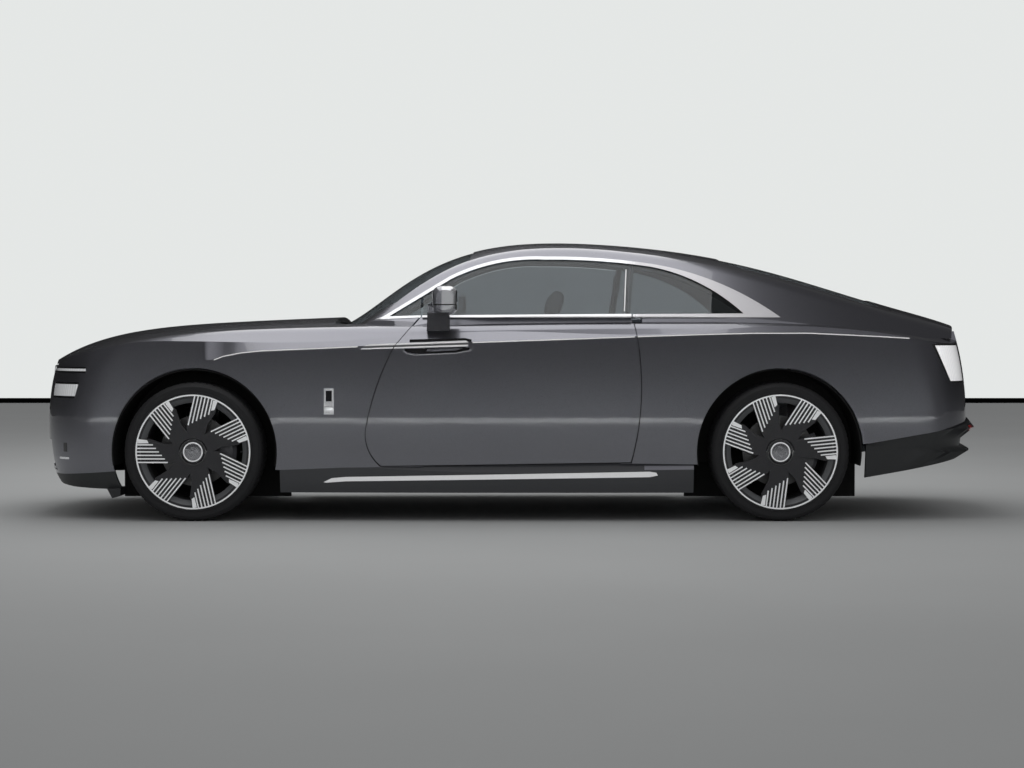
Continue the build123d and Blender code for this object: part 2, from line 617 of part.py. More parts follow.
def front_subframe():
    rail = block(-2150, -1200, -380, -300, AXLE_Z - 190, AXLE_Z - 110)
    rail = rail + block(-1240, -1200, -380, -300, AXLE_Z - 110, FLOOR_Z - 12)
    tower = block(FRONT_AXLE_X - 60, FRONT_AXLE_X + 60, -380, -300, AXLE_Z - 120, AXLE_Z + 230)
    left = rail + tower + front_arms()
    cross = block(-2000, -1920, -300, 300, AXLE_Z - 190, AXLE_Z - 130)
    return left + mirrored(left) + cross + cross.moved(Location((560, 0, 0)))


def rear_subframe():
    x = REAR_AXLE_X
    rail = block(950, x + 420, -380, -300, AXLE_Z - 190, AXLE_Z - 110)
    rail = rail + block(950, 990, -380, -300, AXLE_Z - 110, FLOOR_Z - 12)
    tower = block(x - 60, x + 60, -380, -300, AXLE_Z - 120, AXLE_Z + 230)
    low = block(x - 40, x + 40, -KINGPIN_Y + 20, -300, AXLE_Z - 150, AXLE_Z - 115)
    high = block(x - 30, x + 30, -KINGPIN_Y + 20, -300, AXLE_Z + 140, AXLE_Z + 170)
    left = rail + tower + low + high + upright(x)
    cross = block(x - 300, x - 220, -300, 300, AXLE_Z - 190, AXLE_Z - 130)
    return left + mirrored(left) + cross + cross.moved(Location((520, 0, 0)))


def liner(x, y_inner):
    shell = cyl_y(x, AXLE_Z, LINER_R, -925, y_inner) - cyl_y(x, AXLE_Z, LINER_R - 6, -930, y_inner - 6)
    shell = shell - block(x - 130, x + 130, -720, 0, 150, 660)
    return shell - block(x - 600, x + 600, -1300, 0, -200, FLOOR_Z + 2)


# ------------------------------------------------------------------ sub-parts
def body_parts():
    save("front_wings", both(front_wing()))
    save("quarter_panels", both(quarter_panel()))
    save("roof_frame", roof_frame())
    save("front_bumper", front_bumper())
    save("front_lip", lip_solid())
    save("rear_bumper", rear_bumper())
    save("rear_diffuser", diffuser())
    save("grille", grille())
    save("lower_grille", lower_grille())
    save("headlamps", headlamps())
    save("tail_lamps", both(tail_lamp()))
    save("bonnet", bonnet())
    save("boot_lid", boot_lid())
    save("quarter_windows", both(quarter_glass()))
    save("window_trims", both(window_trim()))
    save("pillar_trims", both(pillar_trim()))
    save("wing_trims", both(wing_trim()))
    save("sill_trims", both(sill_blade()))
    save("windscreen", PANE_SHELL & plan_prism(grow_plan(SCREEN_PLAN, -1), 900, 1700))
    save("rear_window", PANE_SHELL & plan_prism(grow_plan(REAR_GLASS_PLAN, -1), 900, 1700))


def door_parts():
    panel, glass, mirror_solid, trim = door(), door_glass(), mirror_head(), door_trim()
    for side, turn in (("left", lambda s: s), ("right", mirrored)):
        save(f"door_{side}", turn(panel))
        save(f"door_glass_{side}", turn(glass))
        save(f"door_mirror_{side}", turn(mirror_solid))
        save(f"door_trim_{side}", turn(trim))


def sill():
    """Left dark sill: its upper flank leans out over the step, its top follows the panels' lower edge."""
    out = (PLAN & block(-1265, 1000, -1300, -700, SILL_BOTTOM, 400)) & UNDER
    step = Face(Wire.make_polygon([Vector(-1265, y, z) for y, z in ((-1010, 330), (-955, 330), (-988, 248),
                                                                    (-1010, 248))]))
    return out - extrude(step, amount=2265, dir=(1, 0, 0))


def chassis_parts():
    floor = block(-1250, 1000, -705, 705, FLOOR_Z - 12, FLOOR_Z)
    side = sill() + door_aperture()
    save("platform", floor + side + mirrored(side))
    save("battery_pack", block(-1050, 940, -660, 660, 160, FLOOR_Z - 12))
    save("drive_units", Compound([*block(-1880, -1560, -280, 280, 255, 600).solids(),
                                  *block(1235, 1535, -280, 280, 255, 600).solids()]))
    save("front_subframe", front_subframe())
    save("rear_subframe", rear_subframe())
    liners = [liner(FRONT_AXLE_X, -505), liner(REAR_AXLE_X, -600)]
    save("wheel_liners", Compound([s for part in liners for s in both(part).solids()]))
    save("bulkhead", bulkhead())
    save("boot_tub", boot_tub())


def bulkhead():
    """Cabin's front wall with the cowl shelf behind it and the front bay's cover ahead."""
    wall = block(-1090, -1060, -850, 850, FLOOR_Z, 1015) + block(-1060, -995, -850, 850, 990, 1015)
    return wall + block(-995, -962, -560, 560, 975, 999) + block(-2300, -1085, -470, 470, 870, 890)


def boot_tub():
    """Boot floor with its front wall and the two side walls."""
    tub = block(1560, 2480, -580, 580, 420, 440) + block(1560, 1580, -580, 580, 440, 1000)
    return tub + block(1580, 2300, -580, -568, 440, 700) + block(1580, 2300, 568, 580, 440, 700)


def cabin_parts():
    save("front_seats", both(seat(-400)))
    save("rear_seat", rear_seat())
    save("dashboard", dashboard())
    save("steering_wheel", Pos(-560, -400, 960) * Rot(0, 68, 0) * steering_wheel())


def wheel_parts():
    face = wheel_face()
    rows = (("front", FRONT_AXLE_X, FRONT_TYRE_W, 0.0), ("rear", REAR_AXLE_X, REAR_TYRE_W, REAR_WHEEL_TURN))
    for end, x, width, turn_angle in rows:
        at = Location((x, -WHEEL_FACE_Y + width / 2, AXLE_Z))
        rubber, metal = tyre(width).moved(at), rim(width, face, turn_angle).moved(at)
        for side, turn in (("left", lambda s: s), ("right", mirrored)):
            save(f"tyre_{end}_{side}", turn(rubber))
            save(f"rim_{end}_{side}", turn(metal))
    left = knuckle()
    save("knuckle_left", left)
    save("knuckle_right", mirrored(left))


def main():
    os.makedirs("parts", exist_ok=True)
    body_parts()
    door_parts()
    chassis_parts()
    cabin_parts()
    wheel_parts()


if __name__ == "__main__":
    main()
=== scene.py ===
"""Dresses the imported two-door coupe: stage, camera, finishes and the modelled pieces."""
from math import atan2, cos, pi, radians, sin

import bpy
from mathutils import Matrix, Vector


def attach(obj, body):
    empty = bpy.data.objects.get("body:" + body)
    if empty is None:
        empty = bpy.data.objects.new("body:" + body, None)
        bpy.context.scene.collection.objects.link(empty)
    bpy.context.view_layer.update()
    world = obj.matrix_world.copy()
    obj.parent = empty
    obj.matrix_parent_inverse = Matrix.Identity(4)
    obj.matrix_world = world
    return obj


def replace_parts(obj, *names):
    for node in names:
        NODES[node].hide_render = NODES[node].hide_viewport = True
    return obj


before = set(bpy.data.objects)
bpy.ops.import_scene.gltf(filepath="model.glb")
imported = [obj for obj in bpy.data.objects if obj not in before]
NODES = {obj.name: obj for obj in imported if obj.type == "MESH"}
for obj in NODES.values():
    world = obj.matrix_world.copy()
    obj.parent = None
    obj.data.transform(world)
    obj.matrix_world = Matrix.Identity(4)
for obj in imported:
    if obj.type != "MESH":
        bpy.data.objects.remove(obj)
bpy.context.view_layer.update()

bl_info = {
    "name": "Coupe car dressing",
    "version": (1, 0, 0),
    "blender": (4, 5, 0),
    "location": "View3D > Sidebar > Coupe",
    "description": "Finishes and modelled pieces of a two-door coupe",
    "category": "Object",
}

SIDES = (("left", -1), ("right", 1))
AXLE_X = {"front": -1.737, "rear": 1.473}
AXLE_Z = 0.380
WHEEL_FACE_Y = 0.968
TYRE_R = 0.380
TYRE_HALF = {"front": 0.1275, "rear": 0.1425}
SPEAR_Z, SPEAR_RISE = 0.9802, 0.0345      # middle line of the handle spears at x = 0, and its slope
FAR_OUT = 1.4           # beside the car, clear of it
LIBRARY = {}
EDGE_SOFT = 0.0006      # half the width of a painted edge


# ------------------------------------------------------------------ settings
def colour_setting(name, description, default):
    return bpy.props.FloatVectorProperty(name=name, description=description, subtype="COLOR", size=3,
                                         default=default, min=0, max=1)


def number_setting(name, description, default, **more):
    return bpy.props.FloatProperty(name=name, description=description, default=default, **more)


class CoupeStageSettings(bpy.types.PropertyGroup):
    floor_colour: colour_setting("Floor colour", "Colour of the plain floor", (0.46, 0.47, 0.47))
    backdrop_colour: colour_setting("Backdrop colour", "Colour behind the car", (0.78, 0.80, 0.79))
    camera_distance: number_setting("Camera distance", "From the car's middle plane", 12.5, unit="LENGTH")
    camera_height: number_setting("Camera height", "Above the floor", 1.03, unit="LENGTH")
    floor_end: number_setting("Floor end", "Where the floor meets the backdrop", 18.6, unit="LENGTH")
    lens: number_setting("Lens", "Focal length on a 36 mm wide sensor, in millimetres", 74.3)
    key_strength: number_setting("Ceiling light", "Power of the overhead light, in watts", 205)
    fill_strength: number_setting("Fill", "Strength of the even fill light", 0.40, min=0)
    front_strength: number_setting("Front light", "Power of the light behind the camera, in watts", 700)


class CoupeFinishSettings(bpy.types.PropertyGroup):
    paint_colour: colour_setting("Paint", "Metallic body paint", (0.240, 0.241, 0.268))
    glass_tint: colour_setting("Glass tint", "Colour of light through the windows", (0.255, 0.285, 0.305))
    leather_colour: colour_setting("Leather", "Seat leather", (0.30, 0.29, 0.30))
    dark_leather_colour: colour_setting("Dark leather", "Dash and door leather", (0.035, 0.033, 0.038))


# ------------------------------------------------------------------ material helpers
def new_material(name):
    """A node material with its Principled shader."""
    material = bpy.data.materials.new(name)
    material.use_nodes = True
    return material, material.node_tree, material.node_tree.nodes["Principled BSDF"]


def node(tree, kind, **values):
    """Adds a node; keys that name an input set it, others set a property."""
    n = tree.nodes.new(kind)
    for key, value in values.items():
        if key in n.inputs:
            n.inputs[key].default_value = value
        else:
            setattr(n, key, value)
    return n


def link(tree, source, target):
    tree.links.new(source, target)


def put(tree, value, target):
    """Links a socket to the target, or sets a plain value on it."""
    if hasattr(value, "is_output"):
        link(tree, value, target)
    else:
        target.default_value = value


INPUTS = {
    "colour": "Base Color", "metallic": "Metallic", "roughness": "Roughness", "coat": "Coat Weight",
    "coat_roughness": "Coat Roughness", "ior": "IOR", "transmission": "Transmission Weight",
    "sheen": "Sheen Weight", "specular": "Specular IOR Level", "glow": "Emission Strength",
    "glow_colour": "Emission Color",
}


def set_inputs(tree, shader, **values):
    for key, value in values.items():
        put(tree, value, shader.inputs[INPUTS[key]])


def rgba(colour):
    return (*colour, 1.0)


def scaled(colour, k):
    return tuple(min(1.0, c * k) for c in colour)


def coords(tree):
    return node(tree, "ShaderNodeTexCoord").outputs["Object"]


def axes(tree, centre=(0, 0, 0)):
    """Object coordinates measured from a centre, as separate X, Y and Z."""
    shift = node(tree, "ShaderNodeMapping", Location=[-c for c in centre])
    link(tree, coords(tree), shift.inputs["Vector"])
    split = node(tree, "ShaderNodeSeparateXYZ")
    link(tree, shift.outputs["Vector"], split.inputs["Vector"])
    return split.outputs


def math(tree, operation, a, b=None):
    """A Math node on sockets or numbers."""
    n = node(tree, "ShaderNodeMath", operation=operation)
    for place, value in enumerate((a, b)):
        if value is not None:
            put(tree, value, n.inputs[place])
    return n.outputs["Value"]


def ranged(tree, value, start, end, low=0.0, high=1.0, **values):
    """Maps a value between start and end to one between low and high."""
    m = node(tree, "ShaderNodeMapRange", **values)
    for name, number in (("From Min", start), ("From Max", end), ("To Min", low), ("To Max", high)):
        m.inputs[name].default_value = number
    link(tree, value, m.inputs["Value"])
    return m.outputs["Result"]


def over(tree, value, edge, soft=EDGE_SOFT):
    """0 below the edge, 1 above it, with a short soft step."""
    return ranged(tree, value, edge - soft, edge + soft)


def under(tree, value, edge, soft=EDGE_SOFT):
    """1 below the edge, 0 above it."""
    return math(tree, "SUBTRACT", 1.0, over(tree, value, edge, soft))


def between(tree, value, low, high, soft=EDGE_SOFT):
    """1 between two edges, 0 outside them."""
    return math(tree, "SUBTRACT", over(tree, value, low, soft), over(tree, value, high, soft))


def both(tree, a, b):
    return math(tree, "MULTIPLY", a, b)


def distance(tree, a, b):
    """How far a point lies from the centre in two axes."""
    return math(tree, "SQRT", math(tree, "ADD", both(tree, a, a), both(tree, b, b)))


def spread(tree, factor, low, high):
    """Maps a 0..1 factor to a value between low and high."""
    return ranged(tree, factor, 0.0, 1.0, low, high)


def noise(tree, scale, detail=2.0, roughness=0.5):
    n = node(tree, "ShaderNodeTexNoise", Scale=scale, Detail=detail, Roughness=roughness)
    link(tree, coords(tree), n.inputs["Vector"])
    return n.outputs["Fac"]


def two_tone(tree, factor, dark, light, low=0.35, high=0.65):
    ramp = node(tree, "ShaderNodeValToRGB")
    for place, (at, colour) in enumerate(((low, dark), (high, light))):
        ramp.color_ramp.elements[place].position = at
        ramp.color_ramp.elements[place].color = rgba(colour)
    link(tree, factor, ramp.inputs["Fac"])
    return ramp.outputs["Color"]


def mixed(tree, factor, a, b, blend="MIX"):
    """Mixes two colours, each a socket or an RGB value."""
    m = node(tree, "ShaderNodeMix", data_type="RGBA", blend_type=blend)
    put(tree, factor, m.inputs["Factor"])
    for place, value in ((6, a), (7, b)):
        put(tree, value if hasattr(value, "is_output") else rgba(value), m.inputs[place])
    return m.outputs[2]


def bump(tree, shader, height, strength, distance):
    b = node(tree, "ShaderNodeBump", Strength=strength, Distance=distance)
    link(tree, height, b.inputs["Height"])
    link(tree, b.outputs["Normal"], shader.inputs["Normal"])


# ------------------------------------------------------------------ finishes
def body_paint(colour):
    """Metallic paint with fine flake under a clear coat, its highlight rolled over the shoulder."""
    material, tree, shader = new_material("body_paint")
    flake = noise(tree, 900.0, 1.0)
    base = two_tone(tree, flake, scaled(colour, 0.82), scaled(colour, 1.18), 0.3, 0.7)
    drift = two_tone(tree, noise(tree, 1.3), (0.9, 0.9, 0.92), (1, 1, 1))
    set_inputs(tree, shader, colour=mixed(tree, 0.3, base, drift, "MULTIPLY"),
               roughness=spread(tree, flake, 0.25, 0.33), metallic=0.97, coat=1.0, coat_roughness=0.02)
    roll = node(tree, "ShaderNodeBump", Distance=1.0)
    link(tree, shoulder_fall(tree), roll.inputs["Height"])
    facing = node(tree, "ShaderNodeSeparateXYZ")
    link(tree, node(tree, "ShaderNodeTexCoord").outputs["Normal"], facing.inputs["Vector"])
    upright = over(tree, math(tree, "ABSOLUTE", facing.outputs["Y"]), 0.92, 0.03)
    behind = over(tree, axes(tree)[0], SHOULDER_START, 0.02)
    link(tree, both(tree, upright, behind), roll.inputs["Strength"])
    for target in ("Normal", "Coat Normal"):
        link(tree, roll.outputs["Normal"], shader.inputs[target])
    return material


# height of the shoulder's turn along the flank: x, z
SHOULDER_TURN = ((-2.0, 0.870), (-1.626, 0.886), (-1.477, 0.924), (-1.149, 0.944), (-0.836, 0.958),
                 (-0.208, 0.981), (0.432, 1.003), (0.676, 1.012), (1.032, 1.024), (1.631, 1.032), (2.188, 1.004))
SHOULDER_START = -1.67   # x where the turn begins
SHOULDER_SLOPE = 0.55    # how fast the surface falls away above it
CURVE_HALF = 2.8         # the curve runs this far ahead of and behind the middle of the car
CURVE_FOOT = 0.5         # height that the curve's zero stands for


def shoulder_fall(tree):
    """Surface height that falls away above the shoulder's turn on the flanks only."""
    x, _, z = axes(tree)
    curve = node(tree, "ShaderNodeFloatCurve")
    points = curve.mapping.curves[0].points
    for place, (px, pz) in enumerate(SHOULDER_TURN):
        at = ((px + CURVE_HALF) / (2 * CURVE_HALF), pz - CURVE_FOOT)
        if place < 2:
            points[place].location = at
        else:
            points.new(*at)
    curve.mapping.update()
    link(tree, ranged(tree, x, -CURVE_HALF, CURVE_HALF), curve.inputs["Value"])
    turn = math(tree, "ADD", curve.outputs["Value"], CURVE_FOOT)
    rise = math(tree, "MAXIMUM", math(tree, "SUBTRACT", z, turn), 0.0)
    return both(tree, rise, -SHOULDER_SLOPE)


def window_glass(tint):
    """Tinted clear glass."""
    material, tree, shader = new_material("window_glass")
    set_inputs(tree, shader, colour=two_tone(tree, noise(tree, 6.0), scaled(tint, 0.96), tint),
               transmission=1.0, roughness=0.0, ior=1.5)
    return material


def plain_metal(name, colour, roughness, grain=300.0, relief=0.02, metallic=1.0):
    material, tree, shader = new_material(name)
    cloud = noise(tree, grain, 3.0)
    set_inputs(tree, shader, colour=two_tone(tree, cloud, scaled(colour, 0.93), colour),
               roughness=spread(tree, cloud, roughness * 0.8, roughness * 1.2), metallic=metallic)
    bump(tree, shader, cloud, relief, 0.0005)
    return material


def plastic(name, colour, roughness, grain=700.0, depth=0.0004, relief=0.15, coat=0.0):
    """Moulded plastic, rubber or felt with its grain."""
    material, tree, shader = new_material(name)
    cloud = noise(tree, grain, 3.0)
    set_inputs(tree, shader, colour=two_tone(tree, cloud, scaled(colour, 0.8), scaled(colour, 1.15)),
               roughness=spread(tree, cloud, roughness * 0.85, min(1, roughness * 1.15)), coat=coat)
    bump(tree, shader, cloud, relief, depth)
    return material


def leather(name, colour):
    """Leather with its pebbled grain and a soft variation of colour."""
    material, tree, shader = new_material(name)
    cells = node(tree, "ShaderNodeTexVoronoi", Scale=420.0, feature="DISTANCE_TO_EDGE")
    link(tree, coords(tree), cells.inputs["Vector"])
    cloud = noise(tree, 9.0, 3.0)
    set_inputs(tree, shader, colour=two_tone(tree, cloud, scaled(colour, 0.85), scaled(colour, 1.12)),
               roughness=spread(tree, cloud, 0.42, 0.6))
    bump(tree, shader, cells.outputs["Distance"], 0.35, 0.0008)
    return material


def wood(name, dark, light):
    """Dark open-pore veneer, grain along the car's width."""
    material, tree, shader = new_material(name)
    stretch = node(tree, "ShaderNodeMapping", Scale=(30.0, 2.5, 30.0))
    link(tree, coords(tree), stretch.inputs["Vector"])
    grain = node(tree, "ShaderNodeTexNoise", Scale=3.0, Detail=6.0, Distortion=0.6)
    link(tree, stretch.outputs["Vector"], grain.inputs["Vector"])
    set_inputs(tree, shader, colour=two_tone(tree, grain.outputs["Fac"], dark, light, 0.3, 0.7),
               roughness=spread(tree, grain.outputs["Fac"], 0.18, 0.35), coat=0.6)
    bump(tree, shader, grain.outputs["Fac"], 0.1, 0.0005)
    return material


def rim_metal(end):
    """Machined bright face, dark painted spokes, grey barrel and steel disc, by depth and radius."""
    material, tree, shader = new_material("rim_" + end)
    x, y, z = axes(tree, (AXLE_X[end], 0, AXLE_Z))
    depth = math(tree, "ABSOLUTE", y)
    cloud = noise(tree, 350.0, 3.0)
    dark = two_tone(tree, cloud, (0.016, 0.016, 0.018), (0.024, 0.024, 0.026))
    barrel = both(tree, over(tree, distance(tree, x, z), 0.264), under(tree, depth, 0.9612))
    tone = mixed(tree, barrel, dark, (0.085, 0.088, 0.092))
    disc = under(tree, depth, 0.862)
    tone = mixed(tree, disc, tone, (0.14, 0.14, 0.14))
    bright = over(tree, depth, 0.9655)
    set_inputs(tree, shader, colour=mixed(tree, bright, tone, (0.88, 0.89, 0.90)))
    metal = math(tree, "MAXIMUM", both(tree, bright, 0.35), both(tree, disc, 0.8))
    set_inputs(tree, shader, metallic=metal, roughness=spread(tree, bright, 0.38, 0.42))
    bump(tree, shader, cloud, 0.03, 0.0004)
    return material


def spear_metal():
    """Polished handle spear, its groove along the middle darkened with painted shade."""
    material, tree, shader = new_material("spear_metal")
    x, _, z = axes(tree)
    line = math(tree, "ADD", both(tree, x, SPEAR_RISE), SPEAR_Z)
    off = math(tree, "ABSOLUTE", math(tree, "SUBTRACT", z, line))
    rail = over(tree, off, 0.0058)
    bright = two_tone(tree, noise(tree, 300.0), (0.84, 0.84, 0.86), (0.90, 0.90, 0.92))
    # the dark colour between the rails is painted shade in the groove
    set_inputs(tree, shader, colour=mixed(tree, rail, (0.10, 0.10, 0.105), bright),
               roughness=spread(tree, rail, 0.35, 0.10), metallic=0.3)
    return material


def pillar_finish():
    """Gloss black window post with a satin band leaning with the glass."""
    material, tree, shader = new_material("pillar")
    x, _, z = axes(tree, (0, 0, 1.143))
    lean = math(tree, "SUBTRACT", x, both(tree, z, 0.079))
    black = two_tone(tree, noise(tree, 300.0), (0.006, 0.006, 0.007), (0.010, 0.010, 0.011))
    line = between(tree, lean, 0.6225, 0.6285)
    tone = mixed(tree, between(tree, lean, 0.640, 0.657), black, (0.09, 0.09, 0.10))
    set_inputs(tree, shader, colour=mixed(tree, line, tone, (0.85, 0.86, 0.88)), metallic=both(tree, line, 0.3),
               roughness=0.2, coat=0.5)
    return material


def mirror_finish(paint):
    """Painted mirror head over a dark foot, with a black parting line; the head's rear part is painted lighter as a
    painted highlight.
    """
    material, tree, shader = new_material("mirror_body")
    x, _, z = axes(tree)
    head = over(tree, z, 1.140, 0.001)
    line = between(tree, z, 1.180, 1.186)
    rear = over(tree, x, -0.372, 0.004)
    flake = noise(tree, 900.0, 1.0)
    # the light grey on the rear of the head is a painted highlight
    upper = mixed(tree, rear, two_tone(tree, flake, scaled(paint, 0.9), scaled(paint, 1.2)), (0.62, 0.63, 0.65))
    upper = mixed(tree, line, upper, (0.01, 0.01, 0.01))
    set_inputs(tree, shader, colour=mixed(tree, head, (0.022, 0.022, 0.026), upper),
               metallic=both(tree, head, 0.7), roughness=0.25, coat=1.0, coat_roughness=0.03)
    return material


def surround_metal():
    """Polished window surround that turns satin at its tail blade."""
    material, tree, shader = new_material("surround_metal")
    blade = over(tree, axes(tree)[0], 0.66, 0.06)
    bright = two_tone(tree, noise(tree, 300.0), (0.85, 0.86, 0.88), (0.90, 0.91, 0.93))
    set_inputs(tree, shader, colour=mixed(tree, blade, bright, (0.62, 0.61, 0.63)),
               roughness=spread(tree, blade, 0.10, 0.34), metallic=0.4)
    return material


def intake_finish():
    """Bright bars in front of a black back wall, split by radius on the nose curve."""
    material, tree, shader = new_material("intake")
    x, y, _ = axes(tree, (-0.555, 0, 0))
    bars = over(tree, distance(tree, x, y), 2.086, 0.002)
    dark = two_tone(tree, noise(tree, 300.0), (0.006, 0.006, 0.006), (0.010, 0.010, 0.010))
    set_inputs(tree, shader, colour=mixed(tree, bars, dark, (0.50, 0.50, 0.52)), metallic=bars,
               roughness=spread(tree, bars, 0.6, 0.2))
    return material


def sill_finish(paint):
    """Dark sill, floor and posts with a painted band at the sill's rear end."""
    material, tree, shader = new_material("sill")
    x, y, z = axes(tree)
    outer = both(tree, over(tree, math(tree, "ABSOLUTE", y), 0.90), over(tree, x, 0.73))
    painted = both(tree, between(tree, z, 0.283, 0.305), outer)
    dark = two_tone(tree, noise(tree, 500.0, 3.0), (0.020, 0.021, 0.024), (0.030, 0.031, 0.034))
    set_inputs(tree, shader, colour=mixed(tree, painted, dark, paint), metallic=both(tree, painted, 0.85),
               roughness=0.3, coat=0.6, coat_roughness=0.05)
    return material


def lamp_lens(name, bright, dark, bands, strength, front_edge=-9.0):
    """Clear lens over a bright core with dark edges; bands are heights of the bright zones."""
    material, tree, shader = new_material(name)
    x, _, z = axes(tree)
    ribs = node(tree, "ShaderNodeTexWave", Scale=26.0, bands_direction="Y", Distortion=0.0)
    link(tree, coords(tree), ribs.inputs["Vector"])
    core = two_tone(tree, ribs.outputs["Fac"], scaled(bright, 0.86), bright, 0.1, 0.9)
    inside = None
    for low, high in bands:
        zone = between(tree, z, low, high, 0.001)
        inside = zone if inside is None else math(tree, "MAXIMUM", inside, zone)
    lean = math(tree, "ADD", x, both(tree, z, 0.470))
    inside = both(tree, inside, over(tree, lean, front_edge, 0.001))
    set_inputs(tree, shader, colour=mixed(tree, inside, dark, core),
               glow_colour=mixed(tree, inside, (0, 0, 0), core), roughness=spread(tree, inside, 0.08, 0.2),
               coat=1.0, coat_roughness=0.01, ior=1.5, glow=strength)
    return material


def carpet(name, colour):
    material, tree, shader = new_material(name)
    tufts = noise(tree, 900.0, 2.0)
    set_inputs(tree, shader, colour=two_tone(tree, tufts, scaled(colour, 0.6), scaled(colour, 1.3)),
               roughness=0.95, sheen=0.4)
    bump(tree, shader, tufts, 0.8, 0.003)
    return material


def make_finishes():
    s = bpy.context.scene.coupe_finish
    paint, dark = tuple(s.paint_colour), tuple(s.dark_leather_colour)
    LIBRARY.update({
        "paint": body_paint(paint),
        "glass": window_glass(tuple(s.glass_tint)),
        "chrome": plain_metal("polished_metal", (0.90, 0.91, 0.93), 0.12, metallic=0.6),
        "blade": plain_metal("blade_metal", (0.93, 0.93, 0.94), 0.22, metallic=0.25),
        "satin": plain_metal("satin_metal", (0.42, 0.42, 0.44), 0.28),
        "surround": surround_metal(),
        "pillar": pillar_finish(),
        "mirror_body": mirror_finish(paint),
        "spear": spear_metal(),
        "sill": sill_finish(paint),
        "intake": intake_finish(),
        "rim_front": rim_metal("front"),
        "rim_rear": rim_metal("rear"),
        "rubber": plastic("tyre_rubber", (0.010, 0.010, 0.011), 0.68, 500, 0.0006, 0.25),
        "black": plastic("black_plastic", (0.018, 0.019, 0.020), 0.42),
        "gloss_black": plastic("gloss_black", (0.008, 0.008, 0.009), 0.08, relief=0.0, coat=1.0),
        "steel": plain_metal("cast_steel", (0.20, 0.20, 0.21), 0.5, 60, 0.3),
        "caliper": plastic("caliper_paint", (0.05, 0.05, 0.055), 0.35, 200, coat=0.5),
        "leather": leather("seat_leather", tuple(s.leather_colour)),
        "dark_leather": leather("dash_leather", dark),
        "wood": wood("dash_veneer", (0.012, 0.010, 0.010), (0.05, 0.04, 0.036)),
        "screen": plastic("screen_glass", (0.004, 0.004, 0.006), 0.04, relief=0.0, coat=1.0),
        "carpet": carpet("carpet", (0.05, 0.048, 0.052)),
        "lining": carpet("roof_lining", (0.16, 0.16, 0.165)),
        "felt": plastic("liner_felt", (0.006, 0.006, 0.006), 0.95, 350, 0.002, 0.5),
        "mirror": plain_metal("mirror_glass", (0.80, 0.82, 0.83), 0.02, 20, 0.0),
        "headlamp": lamp_lens("headlamp_lens", (0.60, 0.61, 0.62), (0.006, 0.006, 0.007),
                              ((0.681, 0.7465), (0.8195, 0.8325)), 0.16),
        "tail_lamp": lamp_lens("tail_lamp_lens", (0.86, 0.86, 0.87), (0.02, 0.02, 0.02), ((0.765, 0.961),), 0.42,
                               2.788),
        "line": plastic("coach_line_paint", (0.78, 0.77, 0.77), 0.35, relief=0.0, coat=0.4),
        "red": plastic("red_lens", (0.30, 0.01, 0.01), 0.1, relief=0.0, coat=1.0),
        "plate": plastic("blank_plate", (0.62, 0.62, 0.60), 0.3),
    })


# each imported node's finish; tyres and rims are matched by name
NODE_FINISH = {value: key for key, values in {
    "paint": "front_wings quarter_panels roof_frame front_bumper rear_bumper bonnet boot_lid door_left "
        "door_right",
    "black": "rear_diffuser bulkhead front_lip",
    "chrome": "grille",
    "glass": "door_glass_left door_glass_right quarter_windows windscreen rear_window",
    "mirror_body": "door_mirror_left door_mirror_right",
    "spear": "door_trim_left door_trim_right wing_trims",
    "surround": "window_trims",
    "sill": "platform",
    "steel": "battery_pack drive_units front_subframe rear_subframe knuckle_left knuckle_right",
    "felt": "wheel_liners",
    "carpet": "boot_tub",
    "leather": "front_seats rear_seat",
    "dark_leather": "dashboard steering_wheel",
    "blade": "sill_trims",
    "headlamp": "headlamps",
    "tail_lamp": "tail_lamps",
    "intake": "lower_grille",
    "pillar": "pillar_trims",
}.items() for value in values.split()}
# material slot of each finish
SLOT_OF = {value: key for key, values in {
    "body_paint": "paint",
    "bright_metal": "chrome satin",
    "rubber": "rubber",
    "black_plastic": "black gloss_black felt",
    "steel": "steel caliper",
    "leather": "leather dark_leather",
    "glass": "glass",
    "lamp": "red",
}.items() for value in values.split()}


# ------------------------------------------------------------------ modelling helpers
def deselect():
    bpy.ops.object.select_all(action="DESELECT")


def only(piece):
    deselect()
    piece.select_set(True)
    bpy.context.view_layer.objects.active = piece


def settle(piece):
    """Puts the piece's place into its mesh, with its object at the origin."""
    only(piece)
    bpy.ops.object.transform_apply(location=True, rotation=True, scale=True)
    return piece


def modify(piece, kind, **values):
    """Adds a modifier with these values and applies it."""
    bpy.context.view_layer.objects.active = piece
    modifier = piece.modifiers.new(kind.lower(), kind)
    for key, value in values.items():
        setattr(modifier, key, value)
    bpy.ops.object.modifier_apply(modifier=modifier.name)
    return piece


def edit(piece, *steps):
    """Runs edit-mode steps on the whole piece."""
    only(piece)
    bpy.ops.object.mode_set(mode="EDIT")
    bpy.ops.mesh.select_all(action="SELECT")
    for step in steps:
        step()
    bpy.ops.object.mode_set(mode="OBJECT")
    return piece


def shape_faces(piece, wanted, step):
    """Runs an edit-mode step on the faces whose centre and normal pass a test."""
    only(piece)
    bpy.ops.object.mode_set(mode="EDIT")
    bpy.ops.mesh.select_all(action="DESELECT")
    bpy.ops.mesh.select_mode(type="FACE")
    bpy.ops.object.mode_set(mode="OBJECT")
    for face in piece.data.polygons:
        face.select = bool(wanted(face.center, face.normal))
    bpy.ops.object.mode_set(mode="EDIT")
    step()
    bpy.ops.mesh.select_mode(type="VERT")
    bpy.ops.object.mode_set(mode="OBJECT")
    return piece


